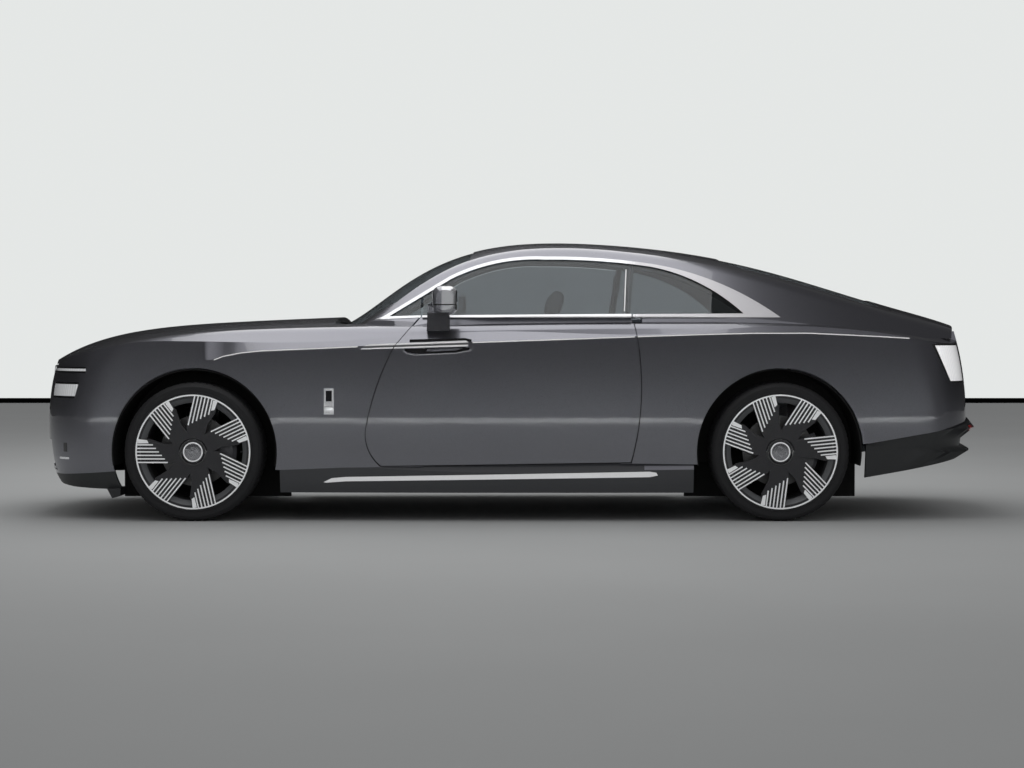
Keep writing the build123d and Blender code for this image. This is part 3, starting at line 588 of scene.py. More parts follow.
def block(name, low, high, bevel=0.0, segments=2, turn=(0, 0, 0)):
    """A bevelled block between two corners, turned about its middle."""
    deselect()
    middle = [(a + b) / 2 for a, b in zip(low, high)]
    bpy.ops.mesh.primitive_cube_add(size=1, location=middle, rotation=turn,
                                    scale=[b - a for a, b in zip(low, high)])
    piece = settle(bpy.context.object)
    piece.name = name
    if bevel:
        modify(piece, "BEVEL", width=bevel, segments=segments)
    return piece


def chain(name, points):
    """Vertices extruded one from the next through the points."""
    deselect()
    bpy.ops.mesh.primitive_plane_add(size=0.01, location=points[0])
    piece = settle(bpy.context.object)
    piece.name = name
    bpy.ops.object.mode_set(mode="EDIT")
    bpy.ops.mesh.select_all(action="SELECT")
    bpy.ops.mesh.merge(type="CENTER")
    for p, q in zip(points, points[1:]):
        step = tuple(b - a for a, b in zip(p, q))
        bpy.ops.mesh.extrude_vertices_move(TRANSFORM_OT_translate={"value": step})
    bpy.ops.object.mode_set(mode="OBJECT")
    return piece


def outward(piece):
    """Merges doubles and turns every face outwards."""
    return edit(piece, lambda: bpy.ops.mesh.remove_doubles(threshold=0.00005),
                lambda: bpy.ops.mesh.normals_make_consistent(inside=False))


def lathe(name, profile, centre, steps=96, sweep=2 * pi):
    """Turns a profile of (radius, y) about the Y axis through the centre."""
    cx, cy, cz = centre
    piece = chain(name, [(cx + r, cy + y, cz) for r, y in profile])
    edit(piece, lambda: bpy.ops.mesh.spin(steps=steps, angle=sweep, center=centre, axis=(0, 1, 0)))
    return outward(piece)


def plate(name, points, step):
    """A flat outline filled and extruded by a step."""
    piece = chain(name, points)
    edit(piece, lambda: bpy.ops.mesh.edge_face_add(),
         lambda: bpy.ops.mesh.extrude_region_move(TRANSFORM_OT_translate={"value": step}))
    return outward(piece)


def smooth_route(points, gap):
    """Points along a polyline, no further apart than the gap."""
    out = [points[0]]
    for p, q in zip(points, points[1:]):
        length = (Vector(q) - Vector(p)).length
        count = max(1, int(length / gap + 0.999))
        out += [tuple(a + (b - a) * k / count for a, b in zip(p, q)) for k in range(1, count + 1)]
    return out


def ribbon(name, route, across, target, axis, lift=0.0, thick=0.0015, gap=0.03, cuts=0):
    """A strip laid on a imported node: route and width, pressed along an axis onto the node, then thickened."""
    piece = chain(name, smooth_route(route, gap))
    edit(piece, lambda: bpy.ops.mesh.extrude_edges_move(TRANSFORM_OT_translate={"value": across}))
    if cuts:
        edit(piece, lambda: bpy.ops.mesh.subdivide(number_cuts=cuts))
    before = [v.co.copy() for v in piece.data.vertices]
    press(piece, target, axis, lift)
    still = 1e-6
    missed = [a for a, v in zip(before, piece.data.vertices) if (a - v.co).length < still]
    if missed:
        raise RuntimeError(f"{name}: {len(missed)} of {len(before)} points miss {target}, first {missed[0]}")
    modify(piece, "SOLIDIFY", thickness=thick, offset=0.0)
    return outward(piece)


def press(piece, target, axis, lift=0.0):
    """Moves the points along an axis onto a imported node."""
    modify(piece, "SHRINKWRAP", wrap_method="PROJECT", target=NODES[target], offset=lift,
           use_project_x=axis == "X", use_project_y=axis == "Y", use_project_z=axis == "Z",
           use_negative_direction=True, use_positive_direction=True)


def flank(points, side):
    """Side-view points in X and Z set out beside the car, ready to be pressed onto it."""
    return [(x, side * FAR_OUT, z) for x, z in points]


def done(piece, body, finish, angle=35, slot=None):
    """Finish, smoothing and body of a finished piece; its slot is looked up but not given to it."""
    piece.data.materials.clear()
    piece.data.materials.append(LIBRARY[finish])
    only(piece)
    bpy.ops.object.shade_smooth_by_angle(angle=radians(angle))
    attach(piece, body)
    slot = slot or SLOT_OF.get(finish)
    return piece


def twin(piece, name, body, finish, angle=35, **more):
    """A copy with its own mesh, mirrored to the other side."""
    copy = piece.copy()
    copy.data = piece.data.copy()
    copy.name = name
    copy.parent = None
    bpy.context.collection.objects.link(copy)
    copy.data.transform(Matrix.Diagonal((1, -1, 1, 1)))
    copy.data.flip_normals()
    copy.matrix_world = Matrix.Identity(4)
    return done(copy, body, finish, angle, **more)


def pair(piece, stem, bodies, finish, angle=35, **more):
    """The left piece and its mirrored right one; bodies is one name or a left and right pair."""
    left, right = (bodies, bodies) if isinstance(bodies, str) else bodies
    piece.name = stem + "_left"
    other = twin(piece, stem + "_right", right, finish, angle, **more)
    return done(piece, left, finish, angle, **more), other


def turned(angle, centre):
    """Matrix that turns about the Y axis through a centre."""
    c = Vector(centre)
    return Matrix.Translation(c) @ Matrix.Rotation(angle, 4, "Y") @ Matrix.Translation(-c)


def trim(stem, points, across, target, bodies, finish, lift, thick, gap, cuts=0):
    """A ribbon on the left flank and its mirrored twin."""
    return pair(ribbon(stem, flank(points, -1), across, target, "Y", lift, thick, gap, cuts), stem, bodies, finish)


def joined(name, pieces):
    """Joins the pieces into one mesh."""
    deselect()
    for piece in pieces:
        piece.select_set(True)
    bpy.context.view_layer.objects.active = pieces[0]
    bpy.ops.object.join()
    pieces[0].name = name
    return pieces[0]


DOORS = ("door_left", "door_right")


# ------------------------------------------------------------------ stage
class COUPE_OT_stage(bpy.types.Operator):
    """Camera, floor, backdrop and studio light"""
    bl_idname = "coupe.stage"
    bl_label = "Stage"

    def execute(self, context):
        s = context.scene.coupe_stage
        context.scene.view_settings.view_transform = "Standard"
        make_camera(s)
        make_floor(s)
        make_world(s)
        make_lights(s)
        return {"FINISHED"}


def make_camera(s):
    deselect()
    pitch = radians(1.383)
    bpy.ops.object.camera_add(location=(0.0065, -s.camera_distance, s.camera_height),
                              rotation=(pi / 2 - pitch, 0, 0))
    camera = bpy.context.object
    camera.name = "camera"
    camera.data.lens = s.lens
    camera.data.sensor_width = 36.0
    camera.data.clip_end = 200.0
    bpy.context.scene.camera = camera


def make_floor(s):
    near, half_width, skirting_height = -19.0, 60.0, 0.07
    seen_from, painted_pool_gain = -8.0, 1.9      # nearer than this the floor is out of view, and painted lighter: a painted pool of light for the lower flanks to reflect
    deselect()
    bpy.ops.mesh.primitive_plane_add(size=1, location=(0, (near + s.floor_end) / 2, 0))
    floor = bpy.context.object
    floor.name = "floor"
    floor.scale = (2 * half_width, s.floor_end - near, 1)
    settle(floor)
    material, tree, shader = new_material("floor")
    colour = tuple(s.floor_colour)
    mottled = two_tone(tree, noise(tree, 0.6, 3.0), scaled(colour, 0.97), colour)
    _, y, _ = axes(tree)
    # the floor out of view is painted lighter, a painted pool of light that the lower flanks reflect
    painted_pool = under(tree, y, seen_from, 0.3)
    set_inputs(tree, shader, colour=mixed(tree, painted_pool, mottled, scaled(colour, painted_pool_gain)), roughness=0.75)
    floor.data.materials.append(material)
    skirting = block("skirting", (-half_width, s.floor_end, 0), (half_width, s.floor_end + 0.1, skirting_height))
    black, tree, shader = new_material("skirting")
    tone = two_tone(tree, noise(tree, 2.0), (0.002, 0.002, 0.002), (0.003, 0.003, 0.003))
    set_inputs(tree, shader, colour=tone, roughness=1.0, specular=0.0)
    skirting.data.materials.append(black)


def sky_ramp(tree, height, stops):
    """Brightness of the reflected room by height."""
    ramp = node(tree, "ShaderNodeValToRGB")
    ramp.color_ramp.elements.remove(ramp.color_ramp.elements[1])
    for place, (at, value) in enumerate(stops):
        e = ramp.color_ramp.elements[0] if place == 0 else ramp.color_ramp.elements.new(at)
        e.position = at
        e.color = (value, value, value * 1.03, 1)
    link(tree, height, ramp.inputs["Fac"])
    return ramp.outputs["Color"]


def make_world(s):
    """Backdrop for the camera, an even fill for diffuse light and a dim room in the reflections."""
    world = bpy.data.worlds.new("studio")
    bpy.context.scene.world = world
    world.use_nodes = True
    tree = world.node_tree
    tree.nodes.clear()
    out = node(tree, "ShaderNodeOutputWorld")
    paths = node(tree, "ShaderNodeLightPath")
    where = node(tree, "ShaderNodeTexCoord")
    split = node(tree, "ShaderNodeSeparateXYZ")
    link(tree, where.outputs["Generated"], split.inputs["Vector"])
    _, y, z = split.outputs
    front = sky_ramp(tree, z, ((0.0, 0.060), (0.45, 0.08), (0.62, 0.44), (0.90, 0.44), (1.0, 0.30)))
    back = sky_ramp(tree, z, ((0.0, 0.015), (0.2, 0.02), (0.4, 0.06), (1.0, 0.08)))
    side = ranged(tree, y, -0.50, -0.15, interpolation_type="SMOOTHSTEP")
    room = node(tree, "ShaderNodeBackground", Strength=1.0)
    link(tree, mixed(tree, side, front, back), room.inputs["Color"])
    fill = node(tree, "ShaderNodeBackground", Color=(1, 1, 1, 1), Strength=s.fill_strength)
    wall = node(tree, "ShaderNodeBackground", Color=rgba(tuple(s.backdrop_colour)), Strength=1.0)
    seen = math(tree, "MAXIMUM", paths.outputs["Is Camera Ray"], paths.outputs["Is Transmission Ray"])
    shader = room.outputs["Background"]
    for factor, other in ((paths.outputs["Is Diffuse Ray"], fill), (seen, wall)):
        mix = node(tree, "ShaderNodeMixShader")
        link(tree, factor, mix.inputs["Fac"])
        link(tree, shader, mix.inputs[1])
        link(tree, other.outputs["Background"], mix.inputs[2])
        shader = mix.outputs["Shader"]
    link(tree, shader, out.inputs["Surface"])


def area_light(name, place, turn, size, power, mirrored=True):
    """A rectangular lamp that shiny surfaces mirror, or not."""
    deselect()
    bpy.ops.object.light_add(type="AREA", location=place, rotation=turn)
    lamp = bpy.context.object
    lamp.name = name
    lamp.data.shape = "RECTANGLE"
    lamp.data.size, lamp.data.size_y = size
    lamp.data.energy = power
    lamp.visible_glossy = mirrored
    return lamp


def make_lights(s):
    """A long ceiling light over the car, and two lights behind the camera that no surface mirrors."""
    area_light("ceiling_light", (-0.525, 1.6, 5.0), (0, 0, 0), (4.55, 9.2), s.key_strength)
    front = area_light("front_light", (0, -14.0, 2.5), (radians(84), 0, 0), (8, 3), s.front_strength, False)
    spared = bpy.data.collections.new("front_light_spares")
    spared.objects.link(bpy.data.objects["floor"])
    front.light_linking.receiver_collection = spared
    spared.collection_objects[0].light_linking.link_state = "EXCLUDE"
    far = area_light("floor_light", (0, -13.4, 4.0), (0, 0, 0), (30, 5), 1500, False)
    far.data.spread = radians(60)


class COUPE_OT_finishes(bpy.types.Operator):
    """Paint, glass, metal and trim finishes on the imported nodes"""
    bl_idname = "coupe.finishes"
    bl_label = "Finishes"

    def execute(self, context):
        make_finishes()
        for name, obj in NODES.items():
            key = NODE_FINISH.get(name) or ("rubber" if name.startswith("tyre") else "rim_" + name.split("_")[1])
            obj.data.materials.clear()
            obj.data.materials.append(LIBRARY[key])
        return {"FINISHED"}


# ------------------------------------------------------------------ wheels
def wheel_places():
    """End, side, body and the wheel's middle point."""
    for end in AXLE_X:
        for side, sign in SIDES:
            yield end, side, f"wheel_{end}_{side}", (AXLE_X[end], sign * (WHEEL_FACE_Y - TYRE_HALF[end]), AXLE_Z)


TREAD_INSET, TREAD_RIBS, TYRE_STEPS, SIPE_DEPTH = 0.030, 5, 180, 0.005


def tyre_profile(h):
    """Section of a road tyre from the inner bead over the tread to the outer bead: radius, y."""
    wall = [(0.2835, h - 0.039), (0.3025, h - 0.0145), (0.3105, h - 0.0060), (0.3155, h - 0.0022), (0.3215, h),
            (0.3265, h - 0.0005), (0.3285, h - 0.0030), (0.3320, h - 0.0026), (0.3450, h - 0.0005),
            (0.3560, h - 0.0015), (0.3575, h - 0.0032), (0.3655, h - 0.0085), (0.3725, h - 0.0165),
            (0.3768, h - 0.0265)]
    edge = h - TREAD_INSET
    pitch = 2 * edge / TREAD_RIBS
    cut, lean = 0.0045, 0.0012      # half a groove's width, and the slope of its sides
    groove = TYRE_R - 0.0075
    tread = []
    for k in range(TREAD_RIBS):
        a, b = edge - k * pitch, edge - (k + 1) * pitch
        crown = [TYRE_R - 0.0012 * (abs(v) / edge) ** 2 for v in (a, b)]
        a = a - cut if k else a
        b = b + cut if k < TREAD_RIBS - 1 else b
        tread += [(crown[0], a), (crown[1], b)]
        if k < TREAD_RIBS - 1:
            tread += [(groove, b - lean), (groove, b - 2 * cut + lean)]
    return wall + tread + [(r, -y) for r, y in reversed(wall)]


class COUPE_OT_tyres(bpy.types.Operator):
    """Tyres with grooved and siped tread and ridged side walls"""
    bl_idname = "coupe.tyres"
    bl_label = "Tyres"

    def execute(self, context):
        for end, side, body, middle in wheel_places():
            h = TYRE_HALF[end]
            piece = lathe(f"tread_{end}_{side}", tyre_profile(h), middle, TYRE_STEPS)
            shoulder = (h - TREAD_INSET) * (1 - 2 / TREAD_RIBS)

            def sipe(c, n):
                out = Vector((c.x - middle[0], 0, c.z - middle[2]))
                step = int((atan2(out.z, out.x) + pi) / (2 * pi) * TYRE_STEPS)
                return out.length > 0.3755 and abs(c.y - middle[1]) > shoulder and step % 3 == 0

            shape_faces(piece, sipe, lambda: bpy.ops.mesh.extrude_region_shrink_fatten(
                TRANSFORM_OT_shrink_fatten={"value": -SIPE_DEPTH}))
            done(piece, body, "rubber", 30)
            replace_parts(piece, f"tyre_{end}_{side}")
        return {"FINISHED"}


class COUPE_OT_wheel_details(bpy.types.Operator):
    """Domed hub caps, collars, valve stems and brake calipers"""
    bl_idname = "coupe.wheel_details"
    bl_label = "Wheel details"

    def execute(self, context):
        for end, side, body, middle in wheel_places():
            sign = dict(SIDES)[side]
            face = (middle[0], sign * WHEEL_FACE_Y, middle[2])

            def out(profile):
                return [(r, -sign * d) for r, d in profile]

            cap = lathe(f"hub_cap_{end}_{side}", out(((0.0005, 0.0004), (0.030, 0.0008), (0.042, 0.0020),
                        (0.0462, 0.0036), (0.0462, 0.0060), (0.0005, 0.0060))), face, 64)
            done(cap, body, "satin", 30)
            collar = lathe(f"hub_collar_{end}_{side}", out(((0.060, 0.0085), (0.060, 0.0045), (0.063, 0.0030),
                           (0.074, 0.0030), (0.078, 0.0050), (0.080, 0.0085))), face, 64)
            done(collar, body, "gloss_black", 30)
            stem = lathe(f"valve_{end}_{side}", out(((0.0004, 0.006), (0.0035, 0.006), (0.0042, 0.010),
                         (0.0042, 0.034), (0.0004, 0.034))), (face[0] + 0.262, face[1], face[2]), 16)
            done(stem, body, "black")
            self.caliper(end, side, sign)
        return {"FINISHED"}

    def caliper(self, end, side, sign):
        """Curved caliper over the trailing edge of the disc, on the wheel carrier."""
        body = f"knuckle_{side}" if end == "front" else "body"
        inner = sign * (WHEEL_FACE_Y - 0.172)
        outer = sign * (WHEEL_FACE_Y - 0.100)
        span = outer - inner
        bottom, ceiling, shoulder, top = 0.130, 0.199, 0.205, 0.225
        profile = [(bottom, outer), (shoulder, outer), (top, outer - span * 0.2), (top, inner), (bottom, inner),
                   (bottom, inner + span * 0.22), (ceiling, inner + span * 0.22), (ceiling, outer - span * 0.2),
                   (bottom, outer - span * 0.2), (bottom, outer)]
        sweep = radians(52)
        centre = (AXLE_X[end], 0, AXLE_Z)
        piece = lathe(f"caliper_{end}_{side}", profile, centre, 14, sweep)

        def end_face(c, n):
            arm = c - Vector((centre[0], c.y, centre[2]))
            return abs(n.y) < 0.1 and arm.length < 0.18 and abs(n.dot(arm.normalized())) < 0.2

        shape_faces(piece, end_face, lambda: bpy.ops.mesh.inset(thickness=0.004, depth=-0.003))
        piece.data.transform(turned(sweep / 2, centre))
        done(piece, body, "caliper", 35)


# ------------------------------------------------------------------ brightwork on the flanks
# coach line along the flank: x, z
COACH_WING = ((-1.626, 0.879), (-1.575, 0.899), (-1.477, 0.918), (-1.367, 0.929), (-1.149, 0.938),
              (-0.931, 0.948), (-0.836, 0.952))
COACH_DOOR = ((-0.208, 0.975), (0.200, 0.989), (0.432, 0.997), (0.676, 1.006))
COACH_QUARTER = ((0.692, 1.007), (1.032, 1.018), (1.304, 1.025), (1.631, 1.026), (1.850, 1.016),
                 (2.013, 1.008), (2.188, 0.998))


class COUPE_OT_coach_line(bpy.types.Operator):
    """Fine painted line along both flanks"""
    bl_idname = "coupe.coach_line"
    bl_label = "Coach line"

    def execute(self, context):
        for name, points, target, bodies in (("wing", COACH_WING, "front_wings", "body"),
                                             ("quarter", COACH_QUARTER, "quarter_panels", "body"),
                                             ("door", COACH_DOOR, "door_left", DOORS)):
            trim(f"coach_line_{name}", points, (0, 0, 0.0058), target, bodies, "line", 0.0011, 0.0012, 0.015)
        return {"FINISHED"}


class COUPE_OT_badge(bpy.types.Operator):
    """Bare bright plaque behind each front wheel"""
    bl_idname = "coupe.badge"
    bl_label = "Wing plaques"

    def execute(self, context):
        x0, x1, z0, z1 = -1.0205, -0.9655, 0.585, 0.727
        plaque = ribbon("plaque", flank(((x0, z0), (x1, z0)), -1), (0, 0, z1 - z0), "front_wings", "Y", 0.003,
                        0.006, 0.01, 3)
        modify(plaque, "BEVEL", width=0.0018, segments=3)
        pair(plaque, "plaque", "body", "chrome")
        face = 0.0062
        trim("plaque_window", ((x0 + 0.011, z0 + 0.072), (x1 - 0.011, z0 + 0.072)), (0, 0, 0.058), "front_wings",
             "body", "gloss_black", face, 0.002, 0.01, 2)
        for k, z in enumerate((z0 + 0.062, z0 + 0.044, z0 + 0.008)):
            trim(f"plaque_bar_{k}", ((x0 + 0.006, z), (x1 - 0.006, z)), (0, 0, 0.0022), "front_wings", "body",
                 "satin", face, 0.0012, 0.01)
        return {"FINISHED"}


class COUPE_OT_door_handles(bpy.types.Operator):
    """Pocket lined black as painted shade, paddle, rim, painted shadow strip and rails of each handle spear"""
    bl_idname = "coupe.door_handles"
    bl_label = "Door handles"

    def execute(self, context):
        floor_y = -0.9575
        pocket = [(-0.583, 0.943), (-0.240, 0.9535), (-0.222, 0.949), (-0.227, 0.938), (-0.300, 0.9245),
                  (-0.523, 0.9145), (-0.562, 0.923), (-0.582, 0.935)]
        # black sheet lining each handle pocket: painted shade in the recess
        pocket_shade = plate("pocket_shade", [(x, floor_y, z) for x, z in pocket], (0, 0.0015, 0))
        pair(pocket_shade, "handle_pocket_shade", DOORS, "gloss_black")
        paddle = plate("paddle", [(x, floor_y - 0.003, z) for x, z in
                                  ((-0.452, 0.9455), (-0.300, 0.9505), (-0.262, 0.946), (-0.300, 0.934),
                                   (-0.420, 0.928), (-0.462, 0.930))], (0, -0.008, 0))
        modify(paddle, "BEVEL", width=0.003, segments=3)
        pair(paddle, "handle_paddle", DOORS, "paint")
        trim("handle_rim", ((-0.588, 0.931), (-0.566, 0.9165), (-0.525, 0.9075), (-0.300, 0.9175),
                            (-0.216, 0.9325), (-0.207, 0.951)), (0, 0, 0.0032), "door_left", DOORS, "chrome",
             0.0006, 0.0016, 0.02)
        trim("handle_shadow", ((-0.552, 0.981), (-0.250, 0.989), (-0.214, 0.981)), (0, 0, 0.0135), "door_left",
             DOORS, "gloss_black", 0.0008, 0.0014, 0.02)
        for ends, target, bodies in (((-0.575, -0.240), "door_trim_left", DOORS),
                                     ((-0.755, -0.665), "wing_trims", "body")):
            for k, off in enumerate((-0.0105, 0.0075)):
                trim(f"{target}_rail_{k}", [(x, SPEAR_Z + SPEAR_RISE * x + off) for x in ends], (0, 0, 0.0045),
                     target, bodies, "line", 0.0012, 0.0016, 0.02)
        return {"FINISHED"}


class COUPE_OT_window_post(bpy.types.Operator):
    """Bright line on the door glass at the window post"""
    bl_idname = "coupe.window_post"
    bl_label = "Window post"

    def execute(self, context):
        trim("post_line", ((0.6215, 1.150), (0.6400, 1.384)), (0.0055, 0, 0), "door_glass_left", DOORS, "line",
             0.0012, 0.0016, 0.02)
        return {"FINISHED"}


class COUPE_OT_mirrors(bpy.types.Operator):
    """Glass and rim of the door mirrors"""
    bl_idname = "coupe.mirrors"
    bl_label = "Mirrors"

    def execute(self, context):
        x = -0.2925
        glass = block("glass", (x - 0.001, -1.096, 1.160), (x + 0.0035, -0.972, 1.256), 0.0015)
        pair(glass, "mirror_glass", DOORS, "mirror")
        rim = block("rim", (x - 0.004, -1.102, 1.154), (x + 0.002, -0.966, 1.262), 0.002)
        pair(rim, "mirror_rim", DOORS, "gloss_black")
        return {"FINISHED"}


# ------------------------------------------------------------------ seats
VOXEL, QUICK_VOXEL, CLOTH_FRAMES = 0.0065, 0.009, 20
CHANNEL_HALF, CHANNEL_DEPTH = 0.010, 0.010


def stuffed(name, low, high, pivot, tilt, swell=0.024):
    """A padded leather panel: a rounded block swollen by a cloth simulation, then leaned back."""
    piece = block(name, low, high, 0.034, 4)
    modify(piece, "REMESH", mode="VOXEL", voxel_size=VOXEL)
    swollen(piece, swell)
    modify(piece, "SUBSURF", levels=1, render_levels=1)
    piece.data.transform(turned(tilt, pivot))
    return piece


def swollen(piece, cap):
    """Cloth under a light inner pressure, with each point's travel capped."""
    only(piece)
    rest = [v.co.copy() for v in piece.data.vertices]
    cloth = piece.modifiers.new("cloth", "CLOTH")
    cloth.settings.use_pressure = True
    cloth.settings.uniform_pressure_force = 4.0
    cloth.settings.effector_weights.gravity = 0.0
    for step in range(1, CLOTH_FRAMES + 1):
        bpy.context.scene.frame_set(step)
    bpy.ops.object.modifier_apply(modifier=cloth.name)
    bpy.context.scene.frame_set(1)
    for vertex, start in zip(piece.data.vertices, rest):
        move = vertex.co - start
        if move.length > cap:
            vertex.co = start + move * (cap / move.length)


def channelled(piece, spacing, normal, reach):
    """Sewn channels: points near lines across Y sink along the panel's front normal."""
    direction = Vector(normal)
    for vertex in piece.data.vertices:
        place = vertex.co.y
        if vertex.normal.dot(direction) < 0.3 or not reach[0] < place < reach[1]:
            continue
        off = abs((place - reach[0]) / spacing % 1.0 - 0.5) * spacing
        near = spacing / 2 - off
        if near < CHANNEL_HALF:
            vertex.co -= direction * CHANNEL_DEPTH * (1 - near / CHANNEL_HALF) ** 2


SEAT_Y = -0.400


def front_seat():
    """Left front seat: plinth, padded base, back, side bolsters and head rest."""
    tilt = radians(18)
    pivot = (0.150, SEAT_Y, 0.830)
    base = stuffed("seat_base", (-0.355, SEAT_Y - 0.190, 0.435), (0.090, SEAT_Y + 0.190, 0.540), pivot, 0.0)
    channelled(base, 0.095, (0, 0, 1), (SEAT_Y - 0.1425, SEAT_Y + 0.1425))
    back = stuffed("seat_back", (0.095, SEAT_Y - 0.180, 0.560), (0.190, SEAT_Y + 0.180, 1.120), pivot, tilt)
    channelled(back, 0.090, (-cos(tilt), 0, sin(tilt)), (SEAT_Y - 0.135, SEAT_Y + 0.135))
    head = stuffed("seat_head", (0.212, SEAT_Y - 0.118, 1.125), (0.290, SEAT_Y + 0.118, 1.268), pivot, 0.0, 0.014)
    head.data.transform(turned(tilt, (0.250, SEAT_Y, 1.19)))
    wings = []
    for sign in (-1, 1):
        y0, y1 = sorted((SEAT_Y + sign * 0.185, SEAT_Y + sign * 0.255))
        wings.append(stuffed("base_bolster", (-0.340, y0, 0.440), (0.075, y1, 0.556), pivot, 0.0, 0.010))
        wings.append(stuffed("back_bolster", (0.085, y0, 0.580), (0.205, y1, 1.060), pivot, tilt, 0.010))
    plinth = block("seat_plinth", (-0.330, SEAT_Y - 0.235, 0.3005), (0.110, SEAT_Y + 0.235, 0.440), 0.018, 3)
    shell = block("seat_shell", (0.195, SEAT_Y - 0.240, 0.520), (0.2125, SEAT_Y + 0.240, 1.110), 0.008, 3)
    shell.data.transform(turned(tilt, pivot))
    stays = []
    for sign in (-1, 1):
        deselect()
        bpy.ops.mesh.primitive_cylinder_add(vertices=20, radius=0.006, depth=0.10,
                                            location=(0.258, SEAT_Y + sign * 0.055, 1.115), rotation=(0, tilt, 0))
        stays.append(settle(bpy.context.object))
    return (base, back, head, *wings), plinth, shell, joined("head_stays", stays)


class COUPE_OT_front_seats(bpy.types.Operator):
    """Padded front seats with sewn channels and bolsters"""
    bl_idname = "coupe.front_seats"
    bl_label = "Front seats"

    def execute(self, context):
        pads, plinth, shell, stays = front_seat()
        for k, piece in enumerate(pads):
            for copy in pair(piece, f"front_seat_pad_{k}", "body", "leather", 60):
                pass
        pair(plinth, "front_seat_plinth", "body", "dark_leather")
        pair(shell, "front_seat_shell", "body", "wood")
        first, _ = pair(stays, "front_seat_stays", "body", "satin")
        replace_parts(first, "front_seats")
        return {"FINISHED"}


class COUPE_OT_rear_seat(bpy.types.Operator):
    """Two padded rear seats with a centre console"""
    bl_idname = "coupe.rear_seat"
    bl_label = "Rear seat"

    def execute(self, context):
        tilt = radians(24)
        pivot = (1.130, 0.0, 0.800)
        base = stuffed("rear_base", (0.690, -0.560, 0.445), (1.010, -0.110, 0.542), pivot, 0.0)
        channelled(base, 0.105, (0, 0, 1), (-0.520, -0.150))
        back = stuffed("rear_back", (1.080, -0.560, 0.540), (1.168, -0.110, 1.030), pivot, tilt)
        channelled(back, 0.105, (-cos(tilt), 0, sin(tilt)), (-0.520, -0.150))
        for piece in (base, back):
            for copy in pair(piece, piece.name, "body", "leather", 60):
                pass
        plinth = block("rear_plinth", (0.668, -0.590, 0.3005), (1.070, 0.590, 0.448), 0.02, 3)
        console = block("rear_console", (0.700, -0.095, 0.440), (1.060, 0.095, 0.550), 0.02, 3)
        shell = block("rear_shell", (1.172, -0.585, 0.495), (1.192, 0.585, 1.085), 0.008, 3)
        shell.data.transform(turned(tilt, pivot))
        done(plinth, "body", "dark_leather")
        done(console, "body", "dark_leather")
        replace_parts(done(shell, "body", "carpet"), "rear_seat")
        return {"FINISHED"}


# ------------------------------------------------------------------ cabin
WHEEL_HUB = (-0.560, -0.400, 0.960)
WHEEL_TILT = radians(68)


class COUPE_OT_steering_wheel(bpy.types.Operator):
    """Leather rim, hub pad, spokes and switches of the steering wheel"""
    bl_idname = "coupe.steering_wheel"
    bl_label = "Steering wheel"

    def execute(self, context):
        deselect()
        bpy.ops.mesh.primitive_torus_add(major_radius=0.1745, minor_radius=0.0148, major_segments=96,
                                         minor_segments=20)
        rim = settle(bpy.context.object)
        rim.name = "steering_rim"
        hub = block("steering_hub", (-0.062, -0.055, -0.018), (0.062, 0.058, 0.020), 0.016, 4)
        arms = joined("steering_arms", [block("arm", (x0, y0, -0.008), (x1, y1, 0.008), 0.006, 3)
                                        for x0, x1, y0, y1 in ((0.055, 0.166, -0.017, 0.017),
                                                               (-0.166, -0.055, -0.017, 0.017),
                                                               (-0.018, 0.018, -0.166, -0.050))])
        keys = joined("steering_keys", [block("key", (x - 0.016, -0.010, 0.007), (x + 0.016, 0.010, 0.011), 0.003)
                                        for x in (-0.092, 0.092)])
        place = Matrix.Translation(Vector(WHEEL_HUB)) @ Matrix.Rotation(WHEEL_TILT, 4, "Y") @ \
            Matrix.Rotation(pi / 2, 4, "Z")
        for piece, finish in ((rim, "dark_leather"), (hub, "dark_leather"), (arms, "satin"), (keys, "gloss_black")):
            piece.data.transform(place)
            done(piece, "steering_wheel", finish, 50)
        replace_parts(rim, "steering_wheel")
        return {"FINISHED"}


class COUPE_OT_dashboard(bpy.types.Operator):
    """Veneered dash face, screens, vents and console details"""
    bl_idname = "coupe.dashboard"
    bl_label = "Dashboard details"

    def execute(self, context):
        face = block("dash_fascia", (-0.6515, -0.770, 0.835), (-0.6435, 0.770, 0.930), 0.0035, 3)
        done(face, "body", "wood")
        screens = [block("screen", (-0.6455, -0.545, 0.855), (-0.6405, -0.255, 0.985), 0.004, 3),
                   block("screen", (-0.6455, -0.135, 0.842), (-0.6405, 0.135, 0.925), 0.004, 3)]
        done(joined("dash_screens", screens), "body", "screen")
        vents, z = [], 0.882
        for y in (-0.700, -0.195, 0.195, 0.700):
            ring = lathe("vent", [(0.034, 0.004), (0.034, -0.004), (0.028, -0.006), (0.026, 0.0), (0.026, 0.004)],
                         (0, 0, 0), 40)
            ring.data.transform(Matrix.Translation(Vector((-0.6435, y, z))) @ Matrix.Rotation(-pi / 2, 4, "Z"))
            vents.append(ring)
            vents += [block("slat", (-0.6445, y - 0.025, z + k * 0.010 - 0.0012),
                            (-0.6385, y + 0.025, z + k * 0.010 + 0.0012), 0.0005) for k in (-1, 0, 1)]
        done(joined("dash_vents", vents), "body", "chrome")
        lid = block("console_lid", (-0.100, -0.112, 0.612), (0.360, 0.112, 0.636), 0.010, 4)
        done(lid, "body", "leather")
        tray = block("console_tray", (-0.560, -0.100, 0.616), (-0.130, 0.100, 0.626), 0.003, 3)
        done(tray, "body", "wood")
        knob = lathe("console_dial", [(0.0005, 0.0), (0.024, 0.0), (0.026, 0.004), (0.026, 0.020), (0.0005, 0.020)],
                     (0, 0, 0), 48)
        knob.data.transform(Matrix.Translation(Vector((-0.300, 0, 0.646))) @ Matrix.Rotation(-pi / 2, 4, "X"))
        done(knob, "body", "chrome")
        return {"FINISHED"}


